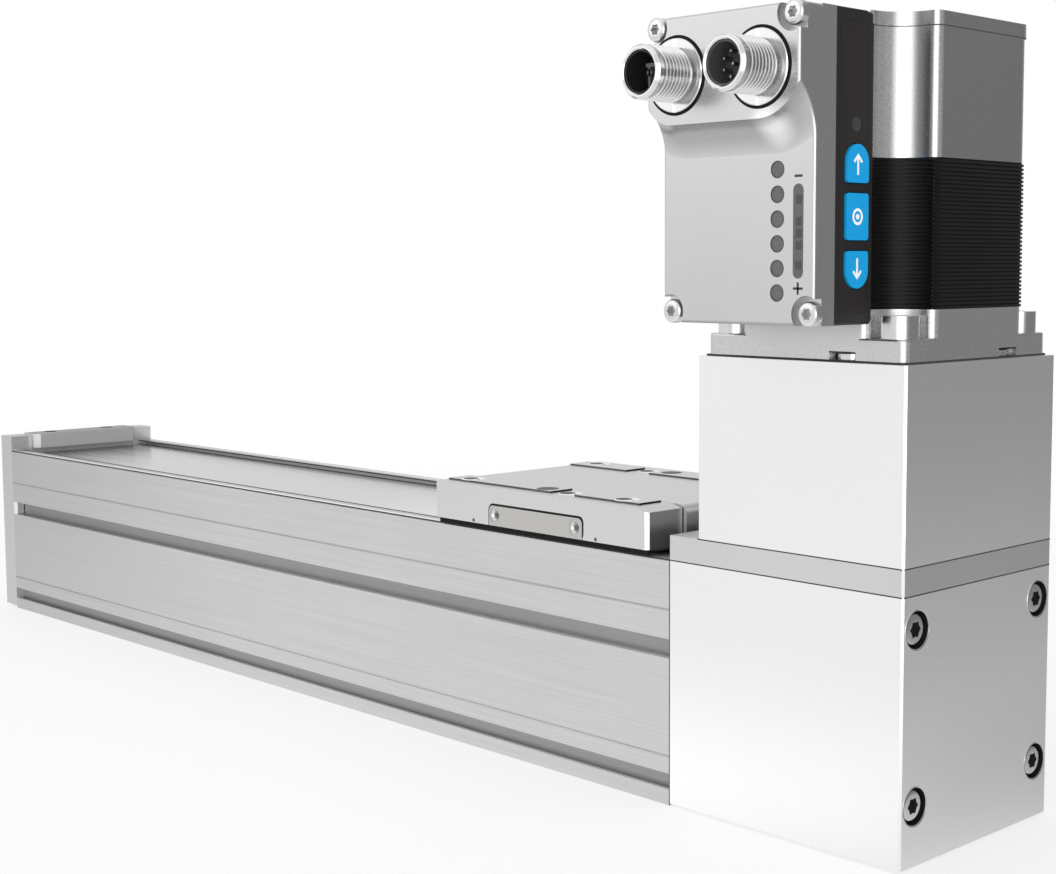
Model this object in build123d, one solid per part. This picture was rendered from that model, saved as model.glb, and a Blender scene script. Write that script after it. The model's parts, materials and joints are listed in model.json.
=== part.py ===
from build123d import *
import math
import os

# Belt driven linear axis. Millimetres, +Z up, +X towards the motor end.
# The origin is the centre of the profile's bottom mounting face.

# Profile
profile_length = 350.0
profile_width = 60.0
profile_edge = 0.5
floor_thickness = 9.0
cavity_width = 46.0
throat_width = 40.0
channel_wall_height = 20.0
throat_drop = 14.1
strip_recess_width = 49.6
side_slot_height = 39.3
side_slot_mouth = 4.8
side_slot_depth = 3.6
lower_groove_height = 5.9
lower_groove_mouth = 4.0
lower_groove_depth = 2.6
lower_groove_lean = 1.0
lower_groove_hook = 0.6
lower_groove_lip = 1.0
low_line_height = 12.2
high_line_drop = 12.65
line_width = 0.5
foot_slot_spacing = 40.0
foot_slot_mouth = 5.2
foot_slot_lip = 2.4
foot_slot_inner_width = 8.8
foot_slot_depth = 5.6

# Screw channels of the profile and the long screws in them
channel_spacing = 49.2
channel_low = 14.1
channel_drop = 7.9
end_screw_radius = 2.0
end_screw_head_radius = 4.0
end_screw_head_height = 2.9
end_screw_head_round = 1.2
end_screw_recess_radius = 4.35
end_screw_recess_depth = 3.4
end_screw_bite = 12.0
thread_clearance = 0.05
screw_hole_clearance = 0.25
fine_hole_clearance = 0.1
blind_hole_extra = 0.5

# Cover strip
strip_thickness = 0.4
strip_sink = 1.5
strip_side_clearance = 0.15
strip_tongue = 6.6
strip_clamp_width = 43.0
strip_clamp_seat_gap = 0.2
strip_tongue_inset = 1.0
strip_clamp_overhang = 3.8
strip_clamp_rise = 0.6
strip_clamp_lift = 2.1
strip_clamp_chamfer = 1.7
strip_clamp_screw_spacing = 24.0
strip_clamp_screw_radius = 1.5
strip_clamp_head_radius = 2.75
strip_clamp_head_height = 1.6
strip_clamp_screw_bite = 7.0

# End cap
cap_thickness = 9.0
cap_lift = 0.8
cap_rise = 5.4
cap_edge = 0.5

# Drive housing, adapter plate and coupling housing
housing_length = 69.0
housing_lift = 0.5
housing_drop = 0.2
housing_edge = 0.5
housing_bore_radius = 17.0
plate_thickness = 6.2
plate_spigot = 4.2
plate_opening_radius = 9.0
spigot_clearance = 0.1
coupling_housing_side = 60.0
coupling_housing_height = 44.1
coupling_bore_radius = 18.0
pilot_gap = 0.4
housing_screw_radius = 2.0
housing_screw_head_radius = 3.5
housing_screw_head_height = 4.0
housing_screw_seat_depth = 2.2
housing_screw_near = 11.7
housing_screw_far = 24.3
housing_screw_bite = 4.8

# Belt drive
belt_pitch = 3.0
pulley_teeth = 26
belt_width = 12.0
belt_thickness = 1.3
belt_inset = 0.38
belt_clearance = 0.3
belt_side_gap = 0.1
belt_headroom = 4.7
belt_window_gap = 1.5
pulley_flange = 1.0
pulley_flange_rise = 1.2
groove_radius = 0.85
groove_lift = 0.1
pulley_window_gap = 1.0
pulley_hub_radius = 7.0
belt_end_gap = 18.5

# Shaft bearings
shaft_radius = 5.0
shaft_shoulder_radius = 6.6
bearing_outer_radius = 13.0
bearing_width = 8.0
bearing_ring = 2.4
bearing_gap = 0.3
running_gap = 0.05
lower_bearing_height = 9.0
shaft_end_lift = 0.3

# Idler
idler_axle_radius = 4.0
idler_bearing_radius = 9.0
idler_bearing_width = 4.0
idler_bearing_ring = 1.6
idler_play = 0.5
bracket_arm = 3.0
bracket_back = 3.4
bracket_width = 34.0
bracket_arm_width = 20.0
bracket_reach = 9.0
tension_screw_radius = 2.0
tension_screw_spacing = 20.0
tension_screw_head_radius = 3.5
tension_screw_head_height = 4.0
hex_socket_depth = 2.0
tension_socket_radius = 1.7

# Guide
rail_width = 15.0
rail_height = 13.0
rail_end_gap = 5.0
rail_groove = 1.4
rail_groove_start = 5.85
rail_groove_end = 8.85
rail_shoulder = 11.2
rail_screw_radius = 2.0
rail_screw_head_radius = 3.5
rail_screw_head_height = 4.0
rail_screw_sink = 0.5
rail_screw_pitch = 60.0
rail_screw_bite = 6.0
runner_width = 34.0
runner_height = 24.0
runner_lift = 3.4
runner_length = 56.0
runner_cap_length = 9.0
runner_clearance = 0.3

# Carriage
carriage_length = 82.3
carriage_width = 64.0
carriage_rest = 128.0
carriage_gap = 1.7
carriage_height = 10.1
carriage_edge = 0.9
carriage_slope = 3.0
carriage_slope_drop = 0.8
carriage_foot_width = 47.0
carriage_foot_gap = 0.4
pad_rise = 0.45
pad_width = 7.9
pad_outer = 27.4
pad_half_length = 37.2
pad_break = 9.2
pad_break_offset = 9.2
pattern_offset = -3.2
table_hole_pitch = 30.0
table_hole_spacing = 49.0
table_hole_radius = 2.1
table_hole_depth = 8.0
table_hole_chamfer = 0.4
dowel_radius = 2.5
dowel_depth = 5.0
deflector_width = 38.0
deflector_proud = 1.2
deflector_length = 9.0
deflector_round = 2.5
deflector_gap = 0.3
side_cover_length = 36.6
side_cover_height = 5.7
side_cover_thickness = 2.0
side_cover_round = 1.5
side_cover_gap = 0.25
side_screw_spacing = 31.0
side_screw_radius = 1.2
side_screw_head_radius = 2.1
side_screw_head_height = 1.0
side_screw_head_sink = 0.1
side_screw_length = 5.5

# Bracket between the runner and the table
neck_offset = 8.0
neck_length = 36.0
neck_width = 18.0
neck_flange_height = 5.0
neck_top_gap = 0.4
clamp_web = 4.7
neck_screw_spacing = 26.0
neck_screw_radius = 2.0
neck_screw_head_radius = 3.9
neck_screw_length = 8.5
clamp_thickness = 3.8
clamp_screw_radius = 1.0
clamp_screw_head_radius = 1.9
clamp_screw_head_height = 1.2
clamp_screw_spacing = 24.0
clamp_screw_length = 7.5

# Jaw coupling
hub_radius = 15.0
hub_height = 10.0
jaw_height = 8.0
jaw_inner_radius = 6.5
jaw_angle = 48.0
jaw_end_gap = 0.5
spider_inset = 0.5
spider_bore_radius = 3.5
coupling_gap = 3.6

# Motor
motor_side = 57.0
motor_corner = 2.2
flange_height = 5.4
flange_round = 0.5
front_housing_height = 11.7
stack_height = 33.0
rear_housing_height = 28.3
rear_cap_height = 3.0
rear_cap_proud = 0.25
scallop_radius = 8.7
scallop_centre = 26.6
scallop_round = 2.2
motor_screw_spacing = 47.14
motor_screw_radius = 2.5
motor_screw_head_radius = 4.25
motor_screw_head_height = 5.0
motor_socket_radius = 2.0
motor_socket_depth = 1.25
motor_screw_bite = 10.0
motor_pilot_radius = 19.05
motor_pilot_depth = 1.6
motor_shaft_radius = 4.0
motor_shaft_reach = 20.0
front_opening_radius = 7.0
rear_opening_radius = 5.0
rotor_tail = 4.0
rotor_inset = 3.0
winding_inset = 2.0
rear_web = 2.0
rotor_radius = 14.0
air_gap = 0.3
stator_bore_radius = 22.0
motor_bearing_radius = 9.5
motor_bearing_width = 6.0
motor_bearing_ring = 1.6
motor_bearing_lift = 2.0
rear_bearing_lift = 1.0
notch_width = 7.3
notch_height = 2.4
notch_depth = 8.0
rear_screw_radius = 1.5
rear_screw_head_radius = 2.75
rear_screw_head_height = 2.0
rear_screw_reach = 19.5
rear_screw_spread = 11.0
rear_screw_bite = 8.0
rear_pocket_wall = 4.5

# Electronics box on the motor's side
box_width = 43.4
box_offset = -2.4
box_bottom = 120.3
box_height = 66.8
base_depth = 12.9
base_wall = 2.0
base_corner = 1.0
rear_cap_gap = 0.1
cover_depth = 6.8
cover_round = 0.8
boss_depth = 5.3
boss_height = 23.1
boss_left_corner = 8.0
boss_right_corner = 12.0
boss_overrun = 0.6
boss_blend = 7.3
boss_spare = 3.4
blank_margin = 10.0
cover_wall = 2.0
box_screw_x = 19.5
box_screw_low = 2.5
box_screw_drop = 2.2
box_screw_radius = 1.5
box_screw_head_radius = 2.7
box_screw_head_height = 2.3
box_screw_head_round = 0.8
box_screw_bite = 8.0
box_boss_radius = 3.0
box_recess_radius = 3.9
box_recess_depth = 2.5
cover_pillar_radius = 4.9

# Round connectors
connector_drop = 12.7
logic_offset = 10.9
connector_spacing = 23.8
connector_radius = 6.0
connector_bore_radius = 4.6
connector_length = 11.8
connector_plain = 2.4
connector_relief_radius = 5.3
connector_bottom = 3.0
connector_flange_radius = 8.0
connector_flange_height = 0.6
seal_width = 0.7
insert_radius = 4.5
insert_face = 6.6
contact_radius = 0.5
contact_length = 4.6
contact_root = 2.0
power_contact_circle = 2.1
logic_contact_circle = 2.75

# Indicators and keys
lens_radius = 1.7
lens_first = 6.9
lens_pitch = 5.22
lens_offset = 11.6
lens_count = 6
lens_thickness = 1.2
lens_sink = 0.15
level_offset = 17.3
level_low = 10.0
level_length = 19.9
level_width = 2.8
panel_centre = 5.7
key_width = 7.7
key_lows = (7.8, 18.1, 30.3)
key_heights = (8.0, 10.0, 8.2)
key_travel = 0.4
key_proud = 0.5
key_gap = 0.2
key_thickness = 2.2
key_pocket_depth = 2.4
key_corner = 0.8
stem_radius = 1.4
stem_gap = 0.1
switch_side = 5.0
switch_height = 2.4
switch_setback = 1.3
board_thickness = 1.6
board_lift = 1.0
board_side_gap = 0.5
board_end_gap = 3.6
main_board_stop = 8.0
key_board_lift = 3.2
lamp_height = 42.7
lamp_radius = 1.6
lamp_sink = 0.05

# Places that follow from the sizes above, built up from the guide to the top of the profile
rail_top = floor_thickness + rail_height
runner_top = floor_thickness + runner_height
bracket_flange_top = runner_top + neck_flange_height
belt_height = bracket_flange_top + clamp_web + belt_clearance
belt_top = belt_height + belt_width
strip_bottom = belt_top + belt_headroom
strip_top = strip_bottom + strip_thickness
profile_height = strip_top + strip_sink
throat_height = profile_height - throat_drop
channel_high = profile_height - channel_drop
line_heights = (low_line_height, profile_height - high_line_drop)
housing_height = profile_height - housing_drop
cap_height = profile_height + cap_rise
profile_start = -profile_length / 2
profile_end = profile_length / 2
cap_start = profile_start - cap_thickness
housing_end = profile_end + housing_length
motor_x = housing_end - coupling_housing_side / 2
plate_bottom = housing_height
plate_top = plate_bottom + plate_thickness
coupling_top = plate_top + coupling_housing_height
stack_bottom = coupling_top + front_housing_height
stack_top = stack_bottom + stack_height
rear_top = stack_top + rear_housing_height
motor_top = rear_top + rear_cap_height
channels = [(side * channel_spacing / 2, z) for side in (-1, 1) for z in (channel_low, channel_high)]
pitch_radius = belt_pitch * pulley_teeth / (2 * math.pi)
tip_radius = pitch_radius - belt_inset
belt_inner = tip_radius + belt_clearance
belt_outer = belt_inner + belt_thickness
belt_middle = (belt_height + belt_top) / 2
pulley_bottom = belt_height - pulley_flange
pulley_top = belt_top + pulley_flange
wished_span = motor_x - (profile_start + belt_end_gap)
belt_teeth = round((2 * wished_span + belt_pitch * pulley_teeth) / belt_pitch)
idler_x = motor_x - (belt_teeth - pulley_teeth) * belt_pitch / 2
carriage_bottom = profile_height + carriage_gap
carriage_top = carriage_bottom + carriage_height
pad_top = carriage_top + pad_rise
pattern_x = carriage_rest + pattern_offset
neck_x = carriage_rest + neck_offset
neck_top = strip_bottom - neck_top_gap
box_back = -motor_side / 2
base_front = box_back - base_depth
cover_front = base_front - cover_depth
boss_front = cover_front - boss_depth
box_x = motor_x + box_offset
box_top = box_bottom + box_height
panel_x = box_x + box_width / 2


def block(x0, x1, y0, y1, z0, z1):
    centre = Pos((x0 + x1) / 2, (y0 + y1) / 2, (z0 + z1) / 2)
    return centre * Box(abs(x1 - x0), abs(y1 - y0), abs(z1 - z0))


def rod(x, y, z0, z1, radius):
    return Pos(x, y, (z0 + z1) / 2) * Cylinder(radius, abs(z1 - z0))


def rod_x(x0, x1, y, z, radius):
    return Pos((x0 + x1) / 2, y, z) * Rot(0, 90, 0) * Cylinder(radius, abs(x1 - x0))


def rod_y(x, y0, y1, z, radius):
    return Pos(x, (y0 + y1) / 2, z) * Rot(90, 0, 0) * Cylinder(radius, abs(y1 - y0))


def ring(x, y, z0, z1, outer, inner):
    return rod(x, y, z0, z1, outer) - rod(x, y, z0, z1, inner)


def save(shape, node):
    shapes = shape if isinstance(shape, list) else [shape]
    solids = [solid for item in shapes for solid in item.solids()]
    result = solids[0] if len(solids) == 1 else Compound(children=solids)
    export_step(result, "parts/" + node + ".step")


# Profile section, drawn in the YZ plane and extruded along X

def section_box(y0, y1, z0, z1):
    return Pos((y0 + y1) / 2, (z0 + z1) / 2) * Rectangle(abs(y1 - y0), abs(z1 - z0))


def along_x(section, x0, x1):
    plane = Plane(origin=(x0, 0, 0), x_dir=(0, 1, 0), z_dir=(1, 0, 0))
    return extrude(plane * section, amount=x1 - x0)


def profile_section():
    half = profile_width / 2
    outer = section_box(-half, half, 0, profile_height)
    outer = chamfer(outer.vertices().group_by(Axis.Y)[-1], profile_edge)
    cavity = section_box(-cavity_width / 2, cavity_width / 2, channel_wall_height, throat_height)
    cavity += section_box(-throat_width / 2, throat_width / 2, floor_thickness, profile_height)
    section = outer - cavity
    recess_half = strip_recess_width / 2
    section -= section_box(-recess_half, recess_half, strip_bottom, profile_height)
    for side in (-1, 1):
        slot_floor = side * (half - side_slot_depth)
        slot_half = side_slot_mouth / 2
        slot_low = side_slot_height - slot_half
        section -= section_box(slot_floor, side * half, slot_low, slot_low + side_slot_mouth)
        section -= lower_groove(side)
        section -= foot_slot(side)
        for height in line_heights:
            section -= Pos(side * half, height) * Rot(0, 0, 45) * Rectangle(line_width, line_width)
    for y, z in channels:
        section -= Pos(y, z) * Circle(end_screw_radius + thread_clearance)
    return section


def lower_groove(side):
    # Hooked groove for a clamp: its floor leans so that the lower lip holds the clamp
    half = profile_width / 2
    top = lower_groove_height + lower_groove_mouth / 2
    bottom = lower_groove_height - lower_groove_mouth / 2
    floor_y = half - lower_groove_depth
    lip_y = half - lower_groove_lip
    corners = [(half, top), (floor_y, top - lower_groove_lean), (floor_y, bottom - lower_groove_hook)]
    corners += [(lip_y, bottom), (half, bottom)]
    return make_face(Polyline([(side * y, z) for y, z in corners], close=True))


def foot_slot(side):
    y = side * foot_slot_spacing / 2
    mouth = section_box(y - foot_slot_mouth / 2, y + foot_slot_mouth / 2, 0, foot_slot_lip)
    inner_half = foot_slot_inner_width / 2
    return mouth + section_box(y - inner_half, y + inner_half, foot_slot_lip, foot_slot_depth)


def rail_screw_places():
    count = int((profile_length / 2 - rail_end_gap - rail_screw_head_radius) / rail_screw_pitch + 0.5)
    return [(index + 0.5) * rail_screw_pitch for index in range(-count, count)]


def make_profile():
    profile = along_x(profile_section(), profile_start, profile_end)
    for x in rail_screw_places():
        bite = floor_thickness - rail_screw_bite
        profile -= rod(x, 0, bite, floor_thickness, rail_screw_radius + thread_clearance)
    save(profile, "profile")


def rail_section(extra):
    half = rail_width / 2 + extra
    top = rail_top + extra
    waist = half - rail_groove
    low = floor_thickness + rail_groove_start
    middle = floor_thickness + rail_groove_end
    high = floor_thickness + rail_shoulder
    right = [(half, floor_thickness), (half, low), (waist, low + rail_groove)]
    right += [(waist, middle), (half, high), (half, top)]
    left = [(-y, z) for y, z in reversed(right)]
    return make_face(Polyline(right + left, close=True))


def make_guide_rail():
    start = profile_start + rail_end_gap
    rail = along_x(rail_section(0), start, -start)
    head_bottom = rail_top - rail_screw_head_height - rail_screw_sink
    screws = []
    for x in rail_screw_places():
        rail -= rod(x, 0, floor_thickness, rail_top, rail_screw_radius + screw_hole_clearance)
        rail -= rod(x, 0, head_bottom, rail_top, rail_screw_head_radius + screw_hole_clearance)
        head_top = head_bottom + rail_screw_head_height
        screw = rod(x, 0, head_bottom, head_top, rail_screw_head_radius)
        screw += rod(x, 0, floor_thickness - rail_screw_bite, head_bottom, rail_screw_radius)
        screws.append(screw)
    save(rail, "guide_rail")
    save(screws, "guide_rail_screws")


# Cover strip and its clamps

def make_cover_strip():
    half = strip_recess_width / 2 - strip_side_clearance
    tongue_half = strip_clamp_width / 2 - strip_tongue_inset
    strip = block(profile_start, profile_end, -half, half, strip_bottom, strip_top)
    for start in (profile_start - strip_tongue, profile_end):
        strip += block(start, start + strip_tongue, -tongue_half, tongue_half, strip_bottom, strip_top)
    for side in (-1, 1):
        x = profile_start - strip_tongue / 2
        y = side * strip_clamp_screw_spacing / 2
        strip -= rod(x, y, strip_bottom, strip_top, strip_clamp_screw_radius + screw_hole_clearance)
    save(strip, "cover_strip")


def make_strip_clamps():
    half = strip_clamp_width / 2
    top = cap_height + strip_clamp_rise
    back = profile_start - strip_tongue
    front = profile_start + strip_clamp_overhang
    clamp = block(back, front, -half, half, strip_top + strip_clamp_lift, top)
    clamp = chamfer(clamp.edges().filter_by(Axis.Z).group_by(Axis.X)[-1], strip_clamp_chamfer)
    clamp += block(back, profile_start, -half, half, strip_top, strip_top + strip_clamp_lift)
    screws = []
    screw_x = (back + profile_start) / 2
    head_bottom = top - strip_clamp_head_height
    for side in (-1, 1):
        y = side * strip_clamp_screw_spacing / 2
        clamp -= rod(screw_x, y, strip_top, top, strip_clamp_screw_radius + screw_hole_clearance)
        clamp -= rod(screw_x, y, head_bottom, top, strip_clamp_head_radius + screw_hole_clearance)
        screw = rod(screw_x, y, head_bottom, top, strip_clamp_head_radius)
        screw_end = strip_bottom - strip_clamp_screw_bite
        screws.append(screw + rod(screw_x, y, screw_end, head_bottom, strip_clamp_screw_radius))
    drive_clamp = block(profile_end, profile_end + strip_tongue, -half, half, strip_top, plate_bottom)
    save([clamp, drive_clamp], "strip_clamps")
    save(screws, "strip_clamp_screws")


# End cap with the idler

def make_end_cap():
    half = profile_width / 2
    cap = block(cap_start, profile_start, -half, half, cap_lift, cap_height)
    cap = chamfer(cap.faces().sort_by(Axis.X)[0].edges(), cap_edge)
    seat_half = strip_clamp_width / 2 + strip_clamp_seat_gap
    seat_start = profile_start - strip_tongue - strip_clamp_seat_gap
    cap -= block(seat_start, profile_start, -seat_half, seat_half, strip_bottom, cap_height)
    screw_x = profile_start - strip_tongue / 2
    for side in (-1, 1):
        y = side * strip_clamp_screw_spacing / 2
        hole_end = strip_bottom - strip_clamp_screw_bite - blind_hole_extra
        cap -= rod(screw_x, y, hole_end, strip_bottom, strip_clamp_screw_radius + thread_clearance)
        y = side * tension_screw_spacing / 2
        cap -= rod_x(cap_start, profile_start, y, belt_middle, tension_screw_radius + screw_hole_clearance)
        recess_end = cap_start + tension_screw_head_height
        recess_radius = tension_screw_head_radius + screw_hole_clearance
        cap -= rod_x(cap_start, recess_end, y, belt_middle, recess_radius)
    recess_end = cap_start + end_screw_recess_depth
    for y, z in channels:
        cap -= rod_x(cap_start, profile_start, y, z, end_screw_radius + screw_hole_clearance)
        cap -= rod_x(cap_start, recess_end, y, z, end_screw_recess_radius)
    save(cap, "end_cap")


def long_screw(face_x, seat_x, end_x, y, z):
    # Pan head screw along X whose head sits on seat_x and points to face_x
    outward = 1 if face_x > seat_x else -1
    head_end = seat_x + outward * end_screw_head_height
    head = rod_x(seat_x, head_end, y, z, end_screw_head_radius)
    head = fillet(head.faces().sort_by(Axis.X)[-1 if outward > 0 else 0].edges(), end_screw_head_round)
    return head + rod_x(end_x, seat_x, y, z, end_screw_radius)


def make_end_screws():
    cap_seat = cap_start + end_screw_recess_depth
    cap_screws = [long_screw(cap_start, cap_seat, profile_start + end_screw_bite, y, z) for y, z in channels]
    seat = housing_end - end_screw_recess_depth
    housing_screws = [long_screw(housing_end, seat, profile_end - end_screw_bite, y, z) for y, z in channels]
    save(cap_screws + housing_screws, "end_screws")


def make_idler():
    arm_low = pulley_bottom - idler_play
    arm_high = pulley_top + idler_play
    low = arm_low - bracket_arm
    high = arm_high + bracket_arm
    back_end = profile_start + bracket_back
    reach = idler_x + bracket_reach
    half = bracket_arm_width / 2
    back_half = bracket_width / 2
    bracket = block(profile_start, back_end, -back_half, back_half, low, high)
    bracket += block(back_end, reach, -half, half, low, arm_low)
    bracket += block(back_end, reach, -half, half, arm_high, high)
    bracket -= rod(idler_x, 0, low, high, idler_axle_radius + running_gap)
    screws = []
    for side in (-1, 1):
        y = side * tension_screw_spacing / 2
        bracket -= rod_x(profile_start, back_end, y, belt_middle, tension_screw_radius + thread_clearance)
        seat = cap_start + tension_screw_head_height
        head = rod_x(cap_start, seat, y, belt_middle, tension_screw_head_radius)
        socket_plane = Plane(origin=(cap_start, y, belt_middle), z_dir=(1, 0, 0))
        head -= extrude(socket_plane * RegularPolygon(tension_socket_radius, 6), amount=hex_socket_depth)
        screws.append(head + rod_x(seat, back_end, y, belt_middle, tension_screw_radius))
    save(bracket, "idler_bracket")
    save(screws, "tension_screws")
    save(rod(idler_x, 0, low, high, idler_axle_radius), "idler_axle")
    pulley = pulley_body(idler_x)
    pulley -= rod(idler_x, 0, pulley_bottom, pulley_top, idler_bearing_radius)
    inner = []
    outer = []
    for start in (pulley_bottom + idler_play, pulley_top - idler_play - idler_bearing_width):
        end = start + idler_bearing_width
        inner_radius = idler_axle_radius + idler_bearing_ring
        inner.append(ring(idler_x, 0, start, end, inner_radius, idler_axle_radius + running_gap))
        outer.append(ring(idler_x, 0, start, end, idler_bearing_radius, inner_radius + bearing_gap))
    save(pulley, "idler_pulley")
    save(inner, "idler_bearing_inner_rings")
    save(outer, "idler_bearing_outer_rings")


def pulley_body(x):
    body = rod(x, 0, belt_height, belt_top, tip_radius)
    for tooth in range(pulley_teeth):
        angle = 2 * math.pi * tooth / pulley_teeth
        groove_x = x + (tip_radius + groove_lift) * math.cos(angle)
        groove_y = (tip_radius + groove_lift) * math.sin(angle)
        body -= rod(groove_x, groove_y, belt_height, belt_top, groove_radius)
    flange_radius = tip_radius + pulley_flange_rise
    body += rod(x, 0, pulley_bottom, belt_height, flange_radius)
    body += rod(x, 0, belt_top, pulley_top, flange_radius)
    return body


def make_belt():
    middle = (motor_x + idler_x) / 2
    span = motor_x - idler_x
    outer = SlotCenterToCenter(span, 2 * belt_outer)
    inner = SlotCenterToCenter(span, 2 * belt_inner)
    plane = Plane(origin=(middle, 0, belt_height + belt_side_gap))
    save(extrude(plane * (outer - inner), amount=belt_width - 2 * belt_side_gap), "toothed_belt")


# Drive end

def make_drive_housing():
    half = profile_width / 2
    housing = block(profile_end, housing_end, -half, half, housing_lift, housing_height)
    housing = chamfer(housing.edges().filter_by(Axis.Z).group_by(Axis.X)[-1], housing_edge)
    housing -= rod(motor_x, 0, lower_bearing_height + bearing_width, housing_height, housing_bore_radius)
    housing -= rod(motor_x, 0, lower_bearing_height, housing_height, bearing_outer_radius)
    window_half = belt_outer + belt_window_gap
    window_bottom = pulley_bottom - pulley_window_gap
    window_top = pulley_top + pulley_window_gap
    housing -= block(profile_end, motor_x, -window_half, window_half, window_bottom, window_top)
    pocket_half = strip_clamp_width / 2
    pocket_end = profile_end + strip_tongue
    housing -= block(profile_end, pocket_end, -pocket_half, pocket_half, strip_bottom, housing_height)
    seat = housing_end - end_screw_recess_depth
    for y, z in channels:
        housing -= rod_x(profile_end, housing_end, y, z, end_screw_radius + screw_hole_clearance)
        housing -= rod_x(seat, housing_end, y, z, end_screw_recess_radius)
    for x, y in housing_screw_places():
        end = housing_height - housing_screw_bite
        housing -= rod(x, y, end, housing_height, housing_screw_radius + thread_clearance)
    save(housing, "drive_housing")


def housing_screw_places():
    places = []
    for turn in range(4):
        spot = Vector(housing_screw_near, -housing_screw_far).rotate(Axis.Z, 90 * turn)
        places.append((motor_x + spot.X, spot.Y))
    return places


def make_adapter_plate():
    half = profile_width / 2
    plate = block(profile_end, housing_end, -half, half, plate_bottom, plate_top)
    plate = chamfer(plate.edges().filter_by(Axis.Z).group_by(Axis.X)[-1], housing_edge)
    bearing_bottom = plate_bottom - plate_spigot
    plate += rod(motor_x, 0, bearing_bottom, plate_bottom, housing_bore_radius - spigot_clearance)
    plate -= rod(motor_x, 0, bearing_bottom, bearing_bottom + bearing_width, bearing_outer_radius)
    plate -= rod(motor_x, 0, bearing_bottom, plate_top, plate_opening_radius)
    for x, y in housing_screw_places():
        plate -= rod(x, y, plate_bottom, plate_top, housing_screw_radius + screw_hole_clearance)
    save(plate, "adapter_plate")


def make_coupling_housing():
    half = coupling_housing_side / 2
    housing = block(motor_x - half, motor_x + half, -half, half, plate_top, coupling_top)
    housing = chamfer(housing.edges().filter_by(Axis.Z), housing_edge)
    housing -= rod(motor_x, 0, plate_top, coupling_top, coupling_bore_radius)
    pilot_seat = coupling_top - motor_pilot_depth - pilot_gap
    housing -= rod(motor_x, 0, pilot_seat, coupling_top, motor_pilot_radius + running_gap)
    seat = coupling_top - housing_screw_seat_depth
    screws = []
    for x, y in housing_screw_places():
        housing -= rod(x, y, plate_top, coupling_top, housing_screw_radius + screw_hole_clearance)
        housing -= rod(x, y, seat, coupling_top, housing_screw_head_radius + screw_hole_clearance)
        head = rod(x, y, seat, seat + housing_screw_head_height, housing_screw_head_radius)
        shank_end = housing_height - housing_screw_bite
        screws.append(head + rod(x, y, shank_end, seat, housing_screw_radius))
    for x, y in motor_screw_places():
        end = coupling_top - motor_screw_bite - blind_hole_extra
        housing -= rod(x, y, end, coupling_top, motor_screw_radius + thread_clearance)
    save(housing, "coupling_housing")
    save(screws, "coupling_housing_screws")


def motor_screw_places():
    half = motor_screw_spacing / 2
    return [(motor_x + i * half, j * half) for i in (-1, 1) for j in (-1, 1)]


def bearing_rings(z0, width, bore, outer, ring_width):
    inner_outer = bore + ring_width
    inner = ring(motor_x, 0, z0, z0 + width, inner_outer, bore)
    outer_ring = ring(motor_x, 0, z0, z0 + width, outer, inner_outer + bearing_gap)
    return inner, outer_ring


def make_bearings():
    pairs = []
    for height in (lower_bearing_height, plate_bottom - plate_spigot):
        pairs.append(bearing_rings(height, bearing_width, shaft_radius, bearing_outer_radius, bearing_ring))
    for height in (coupling_top + motor_bearing_lift, stack_top + rear_bearing_lift):
        pairs.append(bearing_rings(
            height, motor_bearing_width, motor_shaft_radius, motor_bearing_radius, motor_bearing_ring))
    save([inner for inner, outer in pairs], "bearing_inner_rings")
    save([outer for inner, outer in pairs], "bearing_outer_rings")


def make_drive_train():
    upper_height = plate_bottom - plate_spigot
    hub_bottom = plate_top + coupling_gap
    shaft_end = lower_bearing_height + shaft_end_lift
    shaft = rod(motor_x, 0, shaft_end, hub_bottom + hub_height, shaft_radius)
    shoulder_bottom = lower_bearing_height + bearing_width
    shaft += rod(motor_x, 0, shoulder_bottom, pulley_bottom, shaft_shoulder_radius)
    save(shaft, "drive_shaft")
    pulley = pulley_body(motor_x)
    pulley += rod(motor_x, 0, pulley_top, upper_height, pulley_hub_radius)
    pulley -= rod(motor_x, 0, pulley_bottom, upper_height, shaft_radius)
    save(pulley, "drive_pulley")
    make_coupling(hub_bottom)


def jaws(z0, z1, first_angle):
    result = None
    for index in range(3):
        sector = jaw_sector(first_angle + 120 * index, jaw_angle, hub_radius)
        piece = Pos(motor_x, 0, z0) * extrude(sector, amount=z1 - z0)
        result = piece if result is None else result + piece
    return result - rod(motor_x, 0, z0, z1, jaw_inner_radius)


def jaw_sector(angle, width, radius):
    start = math.radians(angle - width / 2)
    middle = math.radians(angle)
    end = math.radians(angle + width / 2)
    points = [(radius * math.cos(a), radius * math.sin(a)) for a in (start, middle, end)]
    arc = ThreePointArc(*points)
    return make_face([Line((0, 0), points[0]), arc, Line(points[2], (0, 0))])


def make_coupling(bottom):
    jaw_bottom = bottom + hub_height
    jaw_top = jaw_bottom + jaw_height
    top = jaw_top + hub_height
    lower = ring(motor_x, 0, bottom, jaw_bottom, hub_radius, shaft_radius)
    lower += jaws(jaw_bottom, jaw_top - jaw_end_gap, 0)
    upper = ring(motor_x, 0, jaw_top, top, hub_radius, motor_shaft_radius)
    upper += jaws(jaw_bottom + jaw_end_gap, jaw_top, 60)
    save([lower, upper], "coupling_hubs")
    web = 60 - jaw_angle
    spider = rod(motor_x, 0, jaw_bottom, jaw_top, jaw_inner_radius)
    for index in range(6):
        lobe = jaw_sector(30 + 60 * index, web, hub_radius - spider_inset)
        spider += Pos(motor_x, 0, jaw_bottom) * extrude(lobe, amount=jaw_height)
    spider -= rod(motor_x, 0, jaw_bottom, jaw_top, spider_bore_radius)
    save(spider, "coupling_spider")


# Motor

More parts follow.
